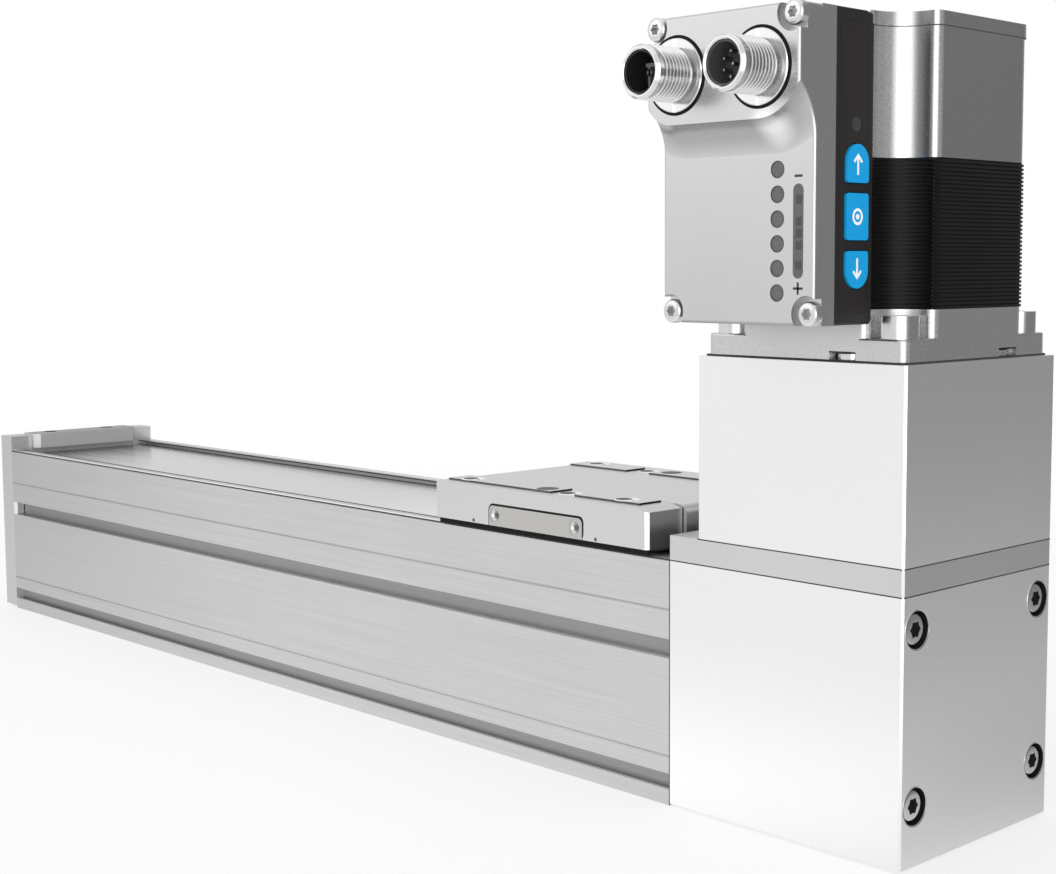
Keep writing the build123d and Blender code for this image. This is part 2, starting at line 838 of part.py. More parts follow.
def motor_section(grow=0):
    half = motor_side / 2 + grow
    section = Rectangle(2 * half, 2 * half)
    for i in (-1, 1):
        for j in (-1, 1):
            section -= Pos(i * scallop_centre, j * scallop_centre) * Circle(scallop_radius - grow)
    return fillet(section.vertices(), scallop_round)


def motor_block(z0, z1, grow=0):
    return extrude(Plane(origin=(motor_x, 0, z0)) * motor_section(grow), amount=z1 - z0)


def make_motor_front():
    flange_top = coupling_top + flange_height
    flange = extrude(Plane(origin=(motor_x, 0, coupling_top)) * RectangleRounded(
        motor_side, motor_side, motor_corner), amount=flange_height)
    flange = fillet(flange.faces().sort_by(Axis.Z)[-1].edges(), flange_round)
    front = flange + motor_block(flange_top - flange_round, stack_bottom)
    front += rod(motor_x, 0, coupling_top - motor_pilot_depth, coupling_top, motor_pilot_radius)
    front -= rod(motor_x, 0, coupling_top - motor_pilot_depth, stack_bottom, front_opening_radius)
    bearing_bottom = coupling_top + motor_bearing_lift
    front -= rod(motor_x, 0, bearing_bottom, stack_bottom, motor_bearing_radius)
    reach = motor_side / 2 - notch_depth
    notch = block(housing_screw_near - notch_width / 2, housing_screw_near + notch_width / 2,
                  -motor_side / 2, -reach, coupling_top, coupling_top + notch_height)
    for turn in range(4):
        front -= Pos(motor_x, 0, 0) * Rot(0, 0, 90 * turn) * notch
    screws = []
    for x, y in motor_screw_places():
        front -= rod(x, y, coupling_top, flange_top, motor_screw_radius + screw_hole_clearance)
        head_top = flange_top + motor_screw_head_height
        head = rod(x, y, flange_top, head_top, motor_screw_head_radius)
        socket = extrude(RegularPolygon(motor_socket_radius, 6), amount=motor_socket_depth)
        head -= Pos(x, y, head_top - motor_socket_depth) * socket
        screws.append(head + rod(x, y, coupling_top - motor_screw_bite, flange_top, motor_screw_radius))
    save(front, "motor_front_housing")
    save(screws, "motor_screws")


def make_motor_body():
    stack = motor_block(stack_bottom, stack_top)
    stack -= rod(motor_x, 0, stack_bottom, stack_top, stator_bore_radius)
    save(stack, "stator_stack")
    winding_inner = rotor_radius + air_gap
    low = stack_bottom + winding_inset
    windings = ring(motor_x, 0, low, stack_top - winding_inset, stator_bore_radius, winding_inner)
    save(windings, "stator_windings")
    rear = motor_block(stack_top, rear_top)
    rear_bearing = stack_top + rear_bearing_lift
    rear -= rod(motor_x, 0, stack_top, rear_bearing + motor_bearing_width, motor_bearing_radius)
    pocket_floor = rear_bearing + motor_bearing_width + rear_web
    rear -= rod(motor_x, 0, pocket_floor, rear_top, motor_side / 2 - rear_pocket_wall)
    rear -= rod(motor_x, 0, stack_top, rear_top, rear_opening_radius)
    cap = motor_block(rear_top, motor_top, rear_cap_proud)
    seat = motor_top - rear_screw_head_height
    screws = []
    for i in (-1, 1):
        for j in (-1, 1):
            x = motor_x + i * rear_screw_reach
            y = j * rear_screw_spread
            screw_end = rear_top - rear_screw_bite
            rear -= rod(x, y, screw_end - blind_hole_extra, rear_top, rear_screw_radius + thread_clearance)
            cap -= rod(x, y, rear_top, motor_top, rear_screw_radius + screw_hole_clearance)
            cap -= rod(x, y, seat, motor_top, rear_screw_head_radius + screw_hole_clearance)
            screw = rod(x, y, seat, motor_top, rear_screw_head_radius)
            screws.append(screw + rod(x, y, screw_end, seat, rear_screw_radius))
    save(rear, "motor_rear_housing")
    save(cap, "motor_rear_cap")
    save(screws, "motor_rear_screws")
    shaft_end = coupling_top - motor_shaft_reach
    rotor = rod(motor_x, 0, shaft_end, pocket_floor + rotor_tail, motor_shaft_radius)
    rotor += rod(motor_x, 0, stack_bottom + rotor_inset, stack_top - rotor_inset, rotor_radius)
    save(rotor, "motor_rotor")


# Electronics box

def face_on(y, section, depth, inward=1):
    # A section drawn in X and Z, extruded along Y from the plane at y
    plane = Plane(origin=(0, y, 0), x_dir=(1, 0, 0), z_dir=(0, -1, 0))
    return extrude(plane * section, amount=-depth * inward)


def box_screw_seats():
    # Place of each cover screw and the face it is sunk into
    seats = []
    for side in (-1, 1):
        x = box_x + side * box_screw_x
        seats.append((x, box_bottom + box_screw_low, cover_front))
        seats.append((x, box_top - box_screw_drop, boss_front))
    return seats


def key_section(index, grow):
    # Outer keys are round on the side that faces away from the middle key
    width = key_width + 2 * grow
    height = key_heights[index] + 2 * grow
    section = RectangleRounded(width, height, key_corner + grow)
    if index != 1:
        direction = -1 if index == 0 else 1
        straight = Pos(0, -direction * width / 4) * Rectangle(width, height - width / 2)
        bow = Pos(0, direction * (height / 2 - width / 2)) * Circle(width / 2)
        section = section & (straight + bow)
    return section


def key_prism(index, grow, x0, x1):
    y = box_back - panel_centre
    z = box_bottom + key_lows[index] + key_heights[index] / 2
    plane = Plane(origin=(x0, y, z), x_dir=(0, 1, 0), z_dir=(1, 0, 0))
    return extrude(plane * key_section(index, grow), amount=x1 - x0)


def make_electronics_base():
    half = box_width / 2
    middle = box_bottom + box_height / 2
    outline = Pos(box_x, middle) * RectangleRounded(box_width, box_height, base_corner)
    base = face_on(base_front, outline, base_depth)
    inner = block(box_x - half + base_wall, panel_x - base_wall, base_front, box_back - base_wall,
                  box_bottom + base_wall, box_top - base_wall)
    base -= inner
    cap_room = rear_cap_proud + rear_cap_gap
    base -= block(box_x - half, panel_x, box_back - cap_room, box_back, rear_top - rear_cap_gap, box_top)
    hole_end = base_front + box_screw_bite + blind_hole_extra
    for x, z, face in box_screw_seats():
        boss = rod_y(x, base_front, box_back - base_wall, z, box_boss_radius)
        base += boss & block(box_x - half, panel_x, base_front, box_back, box_bottom, box_top)
        base -= rod_y(x, base_front, hole_end, z, box_screw_radius + thread_clearance)
    for index in range(len(key_lows)):
        base -= key_prism(index, key_gap, panel_x - key_pocket_depth, panel_x)
    lamp_y = box_back - panel_centre
    lamp_z = box_bottom + lamp_height
    base -= rod_x(panel_x - base_wall, panel_x, lamp_y, lamp_z, lamp_radius)
    save(base, "electronics_base")
    save(rod_x(panel_x - base_wall, panel_x - lamp_sink, lamp_y, lamp_z, lamp_radius), "status_lamp")


def boss_section():
    # Front view of the connector boss, past the cover's outline except at its two round lower corners
    reach = box_width / 2 + boss_overrun
    low = box_top - boss_height
    high = box_top + blank_margin
    section = Pos(box_x, (low + high) / 2) * Rectangle(2 * reach, high - low)
    for side, radius in ((-1, boss_left_corner), (1, boss_right_corner)):
        corner = section.vertices().sort_by_distance((box_x + side * reach, low, 0))[0]
        section = fillet(corner, radius)
    return section


def cover_blank():
    # Slab and a deeper boss blended by a hollow round, trimmed to the box and rounded in front
    half = box_width / 2
    middle = Pos(box_x, box_bottom + box_height / 2)
    plate = middle * Rectangle(box_width + 2 * blank_margin, box_height + 2 * blank_margin)
    blank = face_on(cover_front, plate, cover_depth)
    blank += face_on(boss_front - boss_spare, boss_section(), boss_spare + boss_depth)
    reach = half + boss_overrun
    root = [edge for edge in blank.edges() if abs(edge.center().Y - cover_front) < boss_overrun
            and abs(edge.center().X - box_x) <= reach and edge.center().Z > box_bottom]
    blank = fillet(root, boss_blend)
    outline = middle * RectangleRounded(box_width, box_height, base_corner)
    blank = blank & face_on(boss_front, outline, boss_depth + cover_depth)
    rim = []
    for edge in blank.edges():
        points = [edge.position_at(share) for share in (0, 0.5, 1)]
        if all(is_on_rim(point) for point in points):
            rim.append(edge)
    return fillet(rim, cover_round)


def is_on_rim(point):
    # True for points in front of the slab's back on the outline of the box
    inset = base_corner + 0.05
    near_side = abs(abs(point.X - box_x) - box_width / 2) < inset
    near_end = min(point.Z - box_bottom, box_top - point.Z) < inset
    return point.Y < cover_front + 0.01 and (near_side or near_end)


def make_electronics_cover():
    half = box_width / 2
    cover = cover_blank()
    hollow = block(box_x - half + cover_wall, panel_x - cover_wall, cover_front + cover_wall, base_front,
                   box_bottom + cover_wall, box_top - cover_wall)
    cover -= hollow
    inside = cover_front + cover_wall
    limits = block(box_x - half, panel_x, inside, base_front, box_bottom, box_top)
    for x, z, face in box_screw_seats():
        seat = face + box_recess_depth
        cover += rod_y(x, inside, base_front, z, cover_pillar_radius) & limits
        cover -= rod_y(x, face, base_front, z, box_screw_radius + screw_hole_clearance)
        cover -= rod_y(x, face, seat, z, box_recess_radius)
    for x in connector_places():
        z = box_top - connector_drop
        groove_radius = connector_flange_radius + seal_width
        cover -= rod_y(x, boss_front, cover_front + cover_wall, z, connector_relief_radius)
        cover -= rod_y(x, boss_front, boss_front + connector_flange_height, z, groove_radius)
    for index in range(lens_count):
        z = box_bottom + lens_first + index * lens_pitch
        cover -= rod_y(box_x + lens_offset, cover_front, cover_front + cover_wall, z, lens_radius)
    cover -= level_prism(0, cover_front, cover_wall)
    save(cover, "electronics_cover")


def ring_y(x, y0, y1, z, outer, inner):
    return rod_y(x, y0, y1, z, outer) - rod_y(x, y0, y1, z, inner)


def level_prism(shrink, y, depth):
    z = box_bottom + level_low + level_length / 2
    section = Pos(box_x + level_offset, z) * SlotOverall(
        level_length - 2 * shrink, level_width - 2 * shrink, rotation=90)
    return face_on(y, section, depth)


def connector_places():
    logic_x = box_x + logic_offset
    return [logic_x - connector_spacing, logic_x]


def make_box_details():
    screws = []
    for x, z, face in box_screw_seats():
        seat = face + box_recess_depth
        head = rod_y(x, seat - box_screw_head_height, seat, z, box_screw_head_radius)
        head = fillet(head.faces().sort_by(Axis.Y)[0].edges(), box_screw_head_round)
        screws.append(head + rod_y(x, seat, base_front + box_screw_bite, z, box_screw_radius))
    save(screws, "electronics_screws")
    lenses = []
    for index in range(lens_count):
        z = box_bottom + lens_first + index * lens_pitch
        start = cover_front + lens_sink
        lenses.append(rod_y(box_x + lens_offset, start, start + lens_thickness, z, lens_radius))
    save(lenses, "indicator_lenses")
    save(level_prism(0, cover_front + lens_sink, lens_thickness), "level_window")
    board_front = base_front + board_lift
    board_start = box_x - box_width / 2 + base_wall + board_side_gap
    board_end = panel_x - base_wall - main_board_stop
    board_low = box_bottom + base_wall + board_end_gap
    board_high = box_top - base_wall - board_end_gap
    board_back = board_front + board_thickness
    main_board = block(board_start, board_end, board_front, board_back, board_low, board_high)
    switch_front = panel_x - base_wall - switch_setback
    key_board_x = switch_front - switch_height
    key_board = block(key_board_x - board_thickness, key_board_x, base_front + key_board_lift,
                      box_back - base_wall, board_low, board_high)
    save([main_board, key_board], "circuit_boards")
    switches = []
    y = box_back - panel_centre
    for index in range(len(key_lows)):
        z = box_bottom + key_lows[index] + key_heights[index] / 2
        side = switch_side / 2
        switches.append(block(key_board_x, switch_front, y - side, y + side, z - side, z + side))
        back = panel_x + key_proud - key_thickness
        key = key_prism(index, 0, back, panel_x + key_proud)
        key += rod_x(switch_front + key_travel + stem_gap, back, y, z, stem_radius)
        save(key, ("down_key", "middle_key", "up_key")[index])
    save(switches, "key_switches")


def make_connectors():
    z = box_top - connector_drop
    front = boss_front - connector_length
    back = cover_front + cover_wall
    thread_start = boss_front - connector_plain
    circles = {"power": (power_contact_circle, 4), "logic": (logic_contact_circle, 7)}
    contacts = []
    seals = []
    for x, name in zip(connector_places(), ("power", "logic")):
        shell = rod_y(x, front, thread_start, z, connector_radius)
        shell += rod_y(x, thread_start, back, z, connector_relief_radius - running_gap)
        flange_front = boss_front - connector_flange_height
        shell += rod_y(x, flange_front, boss_front + connector_flange_height, z, connector_flange_radius)
        shell -= rod_y(x, front, back - connector_bottom, z, connector_bore_radius)
        save(shell, name + "_connector")
        insert_front = front + insert_face
        insert = rod_y(x, insert_front, back - connector_bottom, z, insert_radius)
        circle, count = circles[name]
        spots = [(circle * math.cos(2 * math.pi * i / count), circle * math.sin(2 * math.pi * i / count))
                 for i in range(count)]
        if name == "logic":
            spots.append((0, 0))
        for dx, dz in spots:
            root = insert_front + contact_root
            insert -= rod_y(x + dx, insert_front, root, z + dz, contact_radius)
            contacts.append(rod_y(x + dx, root - contact_length, root, z + dz, contact_radius))
        save(insert, name + "_insert")
        seals.append(ring_y(x, boss_front, boss_front + connector_flange_height, z,
                            connector_flange_radius + seal_width, connector_flange_radius))
    save(contacts, "connector_contacts")
    save(seals, "connector_seals")


# Carriage

def make_carriage_table():
    half = carriage_length / 2
    half_width = carriage_width / 2
    slope_x = half - carriage_slope
    side = [(-half, carriage_bottom), (half, carriage_bottom), (half, carriage_top - carriage_slope_drop),
            (slope_x, carriage_top), (-half, carriage_top)]
    outline = make_face(Polyline(side, close=True))
    plane = Plane(origin=(carriage_rest, half_width, 0), x_dir=(1, 0, 0), z_dir=(0, -1, 0))
    table = extrude(plane * outline, amount=carriage_width)
    table = chamfer(table.edges().filter_by(Axis.Z), carriage_edge)
    foot_half = carriage_foot_width / 2
    foot_x = half - deflector_length
    table += block(carriage_rest - foot_x, carriage_rest + foot_x, -foot_half, foot_half,
                   strip_top + carriage_foot_gap, carriage_bottom)
    deflector_half = deflector_width / 2 + deflector_gap
    for end in (-1, 1):
        inner_x = carriage_rest + end * foot_x
        outer_x = carriage_rest + end * half
        table -= block(inner_x, outer_x, -deflector_half, deflector_half, carriage_bottom, carriage_top)
    for x0, x1, mirror in pads():
        outer = mirror * pad_outer
        table += block(x0, x1, outer, outer - mirror * pad_width, carriage_top, pad_top)
    for side_sign in (-1, 1):
        y = side_sign * table_hole_spacing / 2
        for step in (-1, 0, 1):
            x = pattern_x + step * table_hole_pitch
            table -= rod(x, y, pad_top - table_hole_depth, pad_top, table_hole_radius)
            table -= Pos(x, y, pad_top - table_hole_chamfer / 2) * Cone(
                table_hole_radius, table_hole_radius + table_hole_chamfer, table_hole_chamfer)
        dowel_x = pattern_x - side_sign * pad_break_offset
        table -= rod(dowel_x, y, carriage_top - dowel_depth, carriage_top, dowel_radius)
        table -= side_pocket(side_sign)
        for end in (-1, 1):
            x = carriage_rest + end * side_screw_spacing / 2
            z = carriage_bottom + side_cover_height / 2
            start = side_sign * (half_width - side_cover_thickness)
            hole_length = side_screw_length + blind_hole_extra
            reach = side_sign * (half_width - side_cover_thickness - hole_length)
            table -= rod_y(x, start, reach, z, side_screw_radius + thread_clearance)
    save(table, "carriage_table")


def pads():
    # Start, end and side of each raised pad; the two rows are turned half round to each other
    low = pad_break_offset - pad_break / 2
    high = pad_break_offset + pad_break / 2
    near = [(-pad_half_length, low, -1), (high, pad_half_length, -1)]
    far = [(-pad_half_length, -high, 1), (-low, pad_half_length, 1)]
    return [(pattern_x + x0, pattern_x + x1, side) for x0, x1, side in near + far]


def side_plate(side_sign, shrink, y0, y1):
    length = side_cover_length - 2 * shrink
    height = side_cover_height - shrink
    corner = side_cover_round
    plane = Plane(origin=(carriage_rest, y0, carriage_bottom), x_dir=(1, 0, 0), z_dir=(0, 1, 0))
    section = Rectangle(length, height, align=(Align.CENTER, Align.MAX))
    section = fillet(section.vertices().group_by(Axis.Y)[0], corner)
    return extrude(plane * section, amount=y1 - y0)


def side_pocket(side_sign):
    face = side_sign * carriage_width / 2
    return side_plate(side_sign, 0, face - side_sign * side_cover_thickness, face)


def make_side_covers():
    covers = []
    screws = []
    for side_sign in (-1, 1):
        face = side_sign * carriage_width / 2
        back = face - side_sign * side_cover_thickness
        cover = side_plate(side_sign, side_cover_gap, back, face)
        for end in (-1, 1):
            x = carriage_rest + end * side_screw_spacing / 2
            z = carriage_bottom + side_cover_height / 2
            seat = face - side_sign * side_screw_head_height
            cover -= rod_y(x, back, face, z, side_screw_radius + fine_hole_clearance)
            cover -= rod_y(x, seat, face, z, side_screw_head_radius + fine_hole_clearance)
            head = rod_y(x, seat, face - side_sign * side_screw_head_sink, z, side_screw_head_radius)
            end_y = back - side_sign * side_screw_length
            screws.append(head + rod_y(x, seat, end_y, z, side_screw_radius))
        covers.append(cover)
    save(covers, "side_covers")
    save(screws, "side_cover_screws")


def make_strip_deflectors():
    half = carriage_length / 2
    half_width = deflector_width / 2
    deflectors = []
    for end in (-1, 1):
        inner_x = carriage_rest + end * (half - deflector_length)
        outer_x = carriage_rest + end * (half + deflector_proud)
        piece = block(inner_x, outer_x, -half_width, half_width, carriage_bottom, carriage_top)
        outer_edges = piece.edges().filter_by(Axis.Y).sort_by(Axis.Z)[-2:]
        edge = outer_edges.sort_by(Axis.X)[-1 if end > 0 else 0]
        deflectors.append(fillet(edge, deflector_round))
    save(deflectors, "strip_deflectors")


def make_runner():
    runner = section_box(-runner_width / 2, runner_width / 2, floor_thickness + runner_lift, runner_top)
    runner -= rail_section(runner_clearance)
    half = runner_length / 2
    steel_half = half - runner_cap_length
    body = along_x(runner, neck_x - steel_half, neck_x + steel_half)
    hole_end = bracket_flange_top - neck_screw_length - blind_hole_extra
    for x, y in neck_screw_places():
        body -= rod(x, y, hole_end, runner_top, neck_screw_radius + thread_clearance)
    save(body, "runner_block")
    starts = (neck_x - half, neck_x + steel_half)
    save([along_x(runner, start, start + runner_cap_length) for start in starts], "runner_end_caps")


def neck_screw_places():
    half = neck_screw_spacing / 2
    return [(neck_x + i * half, j * half) for i in (-1, 1) for j in (-1, 1)]


def make_carriage_bracket():
    half = neck_length / 2
    flange_half = runner_width / 2
    flange_top = bracket_flange_top
    bracket = block(neck_x - half, neck_x + half, -flange_half, flange_half, runner_top, flange_top)
    neck_half = neck_width / 2
    bracket += block(neck_x - half, neck_x + half, -neck_half, neck_half, flange_top, neck_top)
    pad_low = belt_height - belt_clearance
    pad_high = belt_top + belt_clearance
    plate_y = belt_outer + belt_clearance
    seat_y = belt_inner - belt_clearance
    bracket += block(neck_x - half, neck_x + half, neck_half, seat_y, flange_top, neck_top)
    bracket += block(neck_x - half, neck_x + half, seat_y, plate_y, flange_top, pad_low)
    bracket += block(neck_x - half, neck_x + half, seat_y, plate_y, pad_high, neck_top)
    screws = []
    for x, y in neck_screw_places():
        cone_height = neck_screw_head_radius - neck_screw_radius
        hole_radius = neck_screw_radius + fine_hole_clearance
        sink_radius = neck_screw_head_radius + fine_hole_clearance
        seat = Pos(x, y, flange_top - cone_height / 2)
        bracket -= rod(x, y, runner_top, flange_top, hole_radius)
        bracket -= seat * Cone(hole_radius, sink_radius, cone_height)
        head = seat * Cone(neck_screw_radius, neck_screw_head_radius, cone_height)
        end = flange_top - neck_screw_length
        screws.append(head + rod(x, y, end, flange_top - cone_height, neck_screw_radius))
    save(screws, "carriage_bracket_screws")
    plate = block(neck_x - half, neck_x + half, plate_y, plate_y + clamp_thickness, flange_top, neck_top)
    clamp_screws = []
    for i in (-1, 1):
        x = neck_x + i * clamp_screw_spacing / 2
        for z in ((flange_top + pad_low) / 2, (pad_high + neck_top) / 2):
            outer = plate_y + clamp_thickness
            end = outer - clamp_screw_length
            plate -= rod_y(x, plate_y, outer, z, clamp_screw_radius + fine_hole_clearance)
            bracket -= rod_y(x, end - blind_hole_extra, plate_y, z, clamp_screw_radius + thread_clearance)
            head = rod_y(x, outer, outer + clamp_screw_head_height, z, clamp_screw_head_radius)
            clamp_screws.append(head + rod_y(x, end, outer, z, clamp_screw_radius))
    save(bracket, "carriage_bracket")
    save(plate, "belt_clamp")
    save(clamp_screws, "belt_clamp_screws")


os.makedirs("parts", exist_ok=True)
make_profile()
make_guide_rail()
make_cover_strip()
make_strip_clamps()
make_end_cap()
make_end_screws()
make_idler()
make_belt()
make_drive_housing()
make_adapter_plate()
make_coupling_housing()
make_bearings()
make_drive_train()
make_motor_front()
make_motor_body()
make_electronics_base()
make_electronics_cover()
make_box_details()
make_connectors()
make_carriage_table()
make_side_covers()
make_strip_deflectors()
make_runner()
make_carriage_bracket()
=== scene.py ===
import json
import math

import bpy
from mathutils import Matrix, Vector


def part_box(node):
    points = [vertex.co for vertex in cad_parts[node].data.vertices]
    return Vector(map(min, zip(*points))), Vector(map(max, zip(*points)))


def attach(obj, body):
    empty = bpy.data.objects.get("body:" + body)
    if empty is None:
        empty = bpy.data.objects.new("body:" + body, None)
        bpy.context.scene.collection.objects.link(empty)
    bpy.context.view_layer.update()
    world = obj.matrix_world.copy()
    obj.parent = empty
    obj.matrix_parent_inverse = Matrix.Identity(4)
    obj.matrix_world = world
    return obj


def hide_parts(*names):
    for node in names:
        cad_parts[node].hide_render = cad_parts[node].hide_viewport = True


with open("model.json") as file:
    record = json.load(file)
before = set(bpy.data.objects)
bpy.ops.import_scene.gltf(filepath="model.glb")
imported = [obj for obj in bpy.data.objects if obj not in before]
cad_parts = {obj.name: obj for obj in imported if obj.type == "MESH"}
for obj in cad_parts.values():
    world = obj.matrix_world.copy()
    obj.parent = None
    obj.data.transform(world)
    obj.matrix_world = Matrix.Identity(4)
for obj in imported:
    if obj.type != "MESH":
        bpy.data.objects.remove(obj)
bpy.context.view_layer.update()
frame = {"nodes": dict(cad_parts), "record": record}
nodes = frame["nodes"]
bpy.ops.object.select_all(action="DESELECT")
print("frame loaded,", len(nodes), "nodes")


# Camera, at the photograph's viewpoint

def makeCamera():
    view = {
        "place": (0.45814, -0.33163, 0.13374),
        "azimuth": 44.99, "elevation": 5.41, "roll": 0.11,
        "focalPixels": 1714.3, "centrePixels": (616.49, 424.94), "picture": (1056, 874),
        "sensor": 36.0, "clip": (0.01, 20.0),
    }
    turn = math.radians(view["azimuth"])
    rise = math.radians(view["elevation"])
    back = Vector((math.sin(turn) * math.cos(rise), -math.cos(turn) * math.cos(rise), math.sin(rise)))
    right = (-back).cross(Vector((0, 0, 1))).normalized()
    up = right.cross(-back)
    roll = Matrix.Rotation(-math.radians(view["roll"]), 3, back)
    axes = Matrix((roll @ right, roll @ up, back)).transposed()
    data = bpy.data.cameras.new("productCamera")
    width, height = view["picture"]
    data.sensor_width = view["sensor"]
    data.lens = view["focalPixels"] * view["sensor"] / width
    data.shift_x = (width / 2 - view["centrePixels"][0]) / width
    data.shift_y = (view["centrePixels"][1] - height / 2) / width
    data.clip_start, data.clip_end = view["clip"]
    camera = bpy.data.objects.new("productCamera", data)
    bpy.context.scene.collection.objects.link(camera)
    camera.rotation_mode = "QUATERNION"
    camera.location = view["place"]
    camera.rotation_quaternion = axes.to_quaternion()
    bpy.context.scene.camera = camera


# Shader sheets: wires carry the maths, one method adds every other node

class Wire:
    def __init__(self, sheet, socket):
        self.sheet = sheet
        self.socket = socket

    def maths(self, operation, *values):
        return self.sheet.add("ShaderNodeMath", {"operation": operation}, dict(enumerate(values)))

    def __add__(self, other):
        return self.maths("ADD", self, other)

    __radd__ = __add__

    def __sub__(self, other):
        return self.maths("SUBTRACT", self, other)

    def __rsub__(self, other):
        return self.maths("SUBTRACT", other, self)

    def __mul__(self, other):
        return self.maths("MULTIPLY", self, other)

    __rmul__ = __mul__

    def absolute(self):
        return self.maths("ABSOLUTE", self)

    def ramp(self, low, high, start=0.0, end=1.0):
        settings = {"interpolation_type": "SMOOTHSTEP"}
        links = {"Value": self, "From Min": low, "From Max": high, "To Min": start, "To Max": end}
        return self.sheet.add("ShaderNodeMapRange", settings, links)


class Sheet:
    def __init__(self, name, owner=None):
        self.owner = owner or bpy.data.materials.new(name)
        self.owner.use_nodes = True
        self.tree = self.owner.node_tree

    def add(self, kind, settings=None, links=None, output=0):
        node = self.tree.nodes.new(kind)
        for key, value in (settings or {}).items():
            if key == "stops":
                self.setStops(node.color_ramp, value)
            else:
                setattr(node, key, value)
        for key, value in (links or {}).items():
            self.plug(node.inputs[key], value)
        return Wire(self, node.outputs[output])

    def plug(self, socket, value):
        if isinstance(value, Wire):
            self.tree.links.new(value.socket, socket)
        else:
            socket.default_value = value

    def setStops(self, ramp, stops):
        while len(ramp.elements) > 1:
            ramp.elements.remove(ramp.elements[-1])
        ramp.elements[0].position, ramp.elements[0].color = stops[0]
        for place, colour in stops[1:]:
            ramp.elements.new(place).color = colour

    def surface(self, links):
        shader = self.tree.nodes["Principled BSDF"]
        for key, value in links.items():
            self.plug(shader.inputs[key], value)

    def axis(self, name):
        return self.add("ShaderNodeSeparateXYZ", {}, {"Vector": self.place()}, output=name)

    def towards(self, direction):
        # How far a face looks in a direction: 1 is straight at it
        normal = self.add("ShaderNodeTexCoord", output="Normal")
        links = {0: normal, 1: Vector(direction).normalized()}
        return self.add("ShaderNodeVectorMath", {"operation": "DOT_PRODUCT"}, links, output="Value")

    def toned(self, colour, tone):
        return self.add("ShaderNodeVectorMath", {"operation": "SCALE"}, {0: colour, "Scale": tone})

    def place(self, scale=(1, 1, 1)):
        point = self.add("ShaderNodeTexCoord", output="Object")
        return self.add("ShaderNodeMapping", {}, {"Vector": point, "Scale": scale})

    def noise(self, scale, detail=3, stretch=(1, 1, 1), roughness=0.5):
        links = {"Vector": self.place(stretch), "Scale": scale, "Detail": detail, "Roughness": roughness}
        return self.add("ShaderNodeTexNoise", {}, links)

    def mixColour(self, factor, first, second):
        # Of a colour Mix, 0 is the factor, 6 and 7 are the two colours, and output 2 is the mixed colour
        links = {0: factor, 6: first, 7: second}
        return self.add("ShaderNodeMix", {"data_type": "RGBA"}, links, output=2)

    def bump(self, height, distance, strength=1.0):
        links = {"Height": height, "Distance": distance, "Strength": strength}
        return self.add("ShaderNodeBump", {}, links)


def grey(level):
    return (level, level, level, 1)


def scaled(colour, factor):
    return tuple(channel * factor for channel in colour[:3]) + (1,)


# Finishes. Grain sizes are in waves per metre

def metalFinish(name, ownLook):
    look = {"metallic": 0.95, "grain": 2600, "detail": 4, "stretch": (1, 1, 1), "shade": 0.05, "drift": 0.02,
            "cloud": 30, "cloudDetail": 2, "span": 0.25, "shadeBand": (0.25, 0.75), "cloudBand": (0.3, 0.7),
            "roughBand": (0.2, 0.8), "roughSwing": 0.04, "bump": 0.00002, "bumpStrength": 0.4,
            "slotShadeEdge": 0.0004, "highlightCore": 0.15}
    look.update(ownLook)
    sheet = Sheet(name)
    fine = sheet.noise(look["grain"], look["detail"], look["stretch"])
    broad = sheet.noise(look["cloud"], look["cloudDetail"])
    shade = fine.ramp(*look["shadeBand"], -1, 1) * look["shade"]
    shade = shade + broad.ramp(*look["cloudBand"], -1, 1) * look["drift"]
    dark = scaled(look["colour"], 1 - look["span"])
    light = scaled(look["colour"], 1 + look["span"])
    colour = sheet.mixColour(shade + 0.5, dark, light)
    # Painted shade in the side slots: the colour is darker where a face lies deep in them
    if "slotShadeDepth" in look:
        depth = sheet.axis("Y").absolute()
        edge = look["slotShadeDepth"] - look["slotShadeEdge"]
        colour = sheet.toned(colour, depth.ramp(edge, look["slotShadeDepth"], look["slotShadeFactor"], 1))
    # Painted light along X: the colour is scaled by a ramp along the part
    if "along" in look:
        colour = sheet.toned(colour, sheet.axis("X").ramp(*look["along"]))
    # Painted light and shade: faces looking a given way are made lighter or darker
    for direction, start, full, factor, *rise in look.get("paintedFacingLight", ()):
        if rise:
            bottom, top, first = rise
            factor = sheet.axis("Z").ramp(bottom, top, first, factor)
        colour = sheet.toned(colour, sheet.towards(direction).ramp(start, full) * (factor - 1) + 1)
    # Painted highlights: the colour is scaled round a place, fully within its core
    for centre, radius, factor in look.get("spots", ()):
        links = {0: sheet.place(), 1: centre}
        away = sheet.add("ShaderNodeVectorMath", {"operation": "DISTANCE"}, links, output="Value")
        colour = sheet.toned(colour, away.ramp(radius * look["highlightCore"], radius, factor, 1))
    rough = look["roughness"] + fine.ramp(*look["roughBand"], -1, 1) * look["roughSwing"]
    normal = sheet.bump(fine, look["bump"], look["bumpStrength"])
    sheet.surface({"Base Color": colour, "Roughness": rough, "Normal": normal, "Metallic": look["metallic"]})
    return sheet.owner


def plasticFinish(name, ownLook):
    look = {"grain": 2600, "bump": 0.00001, "bumpStrength": 0.3, "coat": 0.0, "shine": 0.5, "span": 0.12,
            "band": (0.2, 0.8), "roughSwing": 0.05}
    look.update(ownLook)
    sheet = Sheet(name)
    fine = sheet.noise(look["grain"])
    dark = scaled(look["colour"], 1 - look["span"])
    light = scaled(look["colour"], 1 + look["span"])
    colour = sheet.mixColour(fine.ramp(*look["band"]), dark, light)
    rough = look["roughness"] + fine.ramp(*look["band"], -1, 1) * look["roughSwing"]
    normal = sheet.bump(fine, look["bump"], look["bumpStrength"])
    sheet.surface({"Base Color": colour, "Roughness": rough, "Normal": normal, "Metallic": 0.0,
                   "Coat Weight": look["coat"], "Specular IOR Level": look["shine"]})
    return sheet.owner


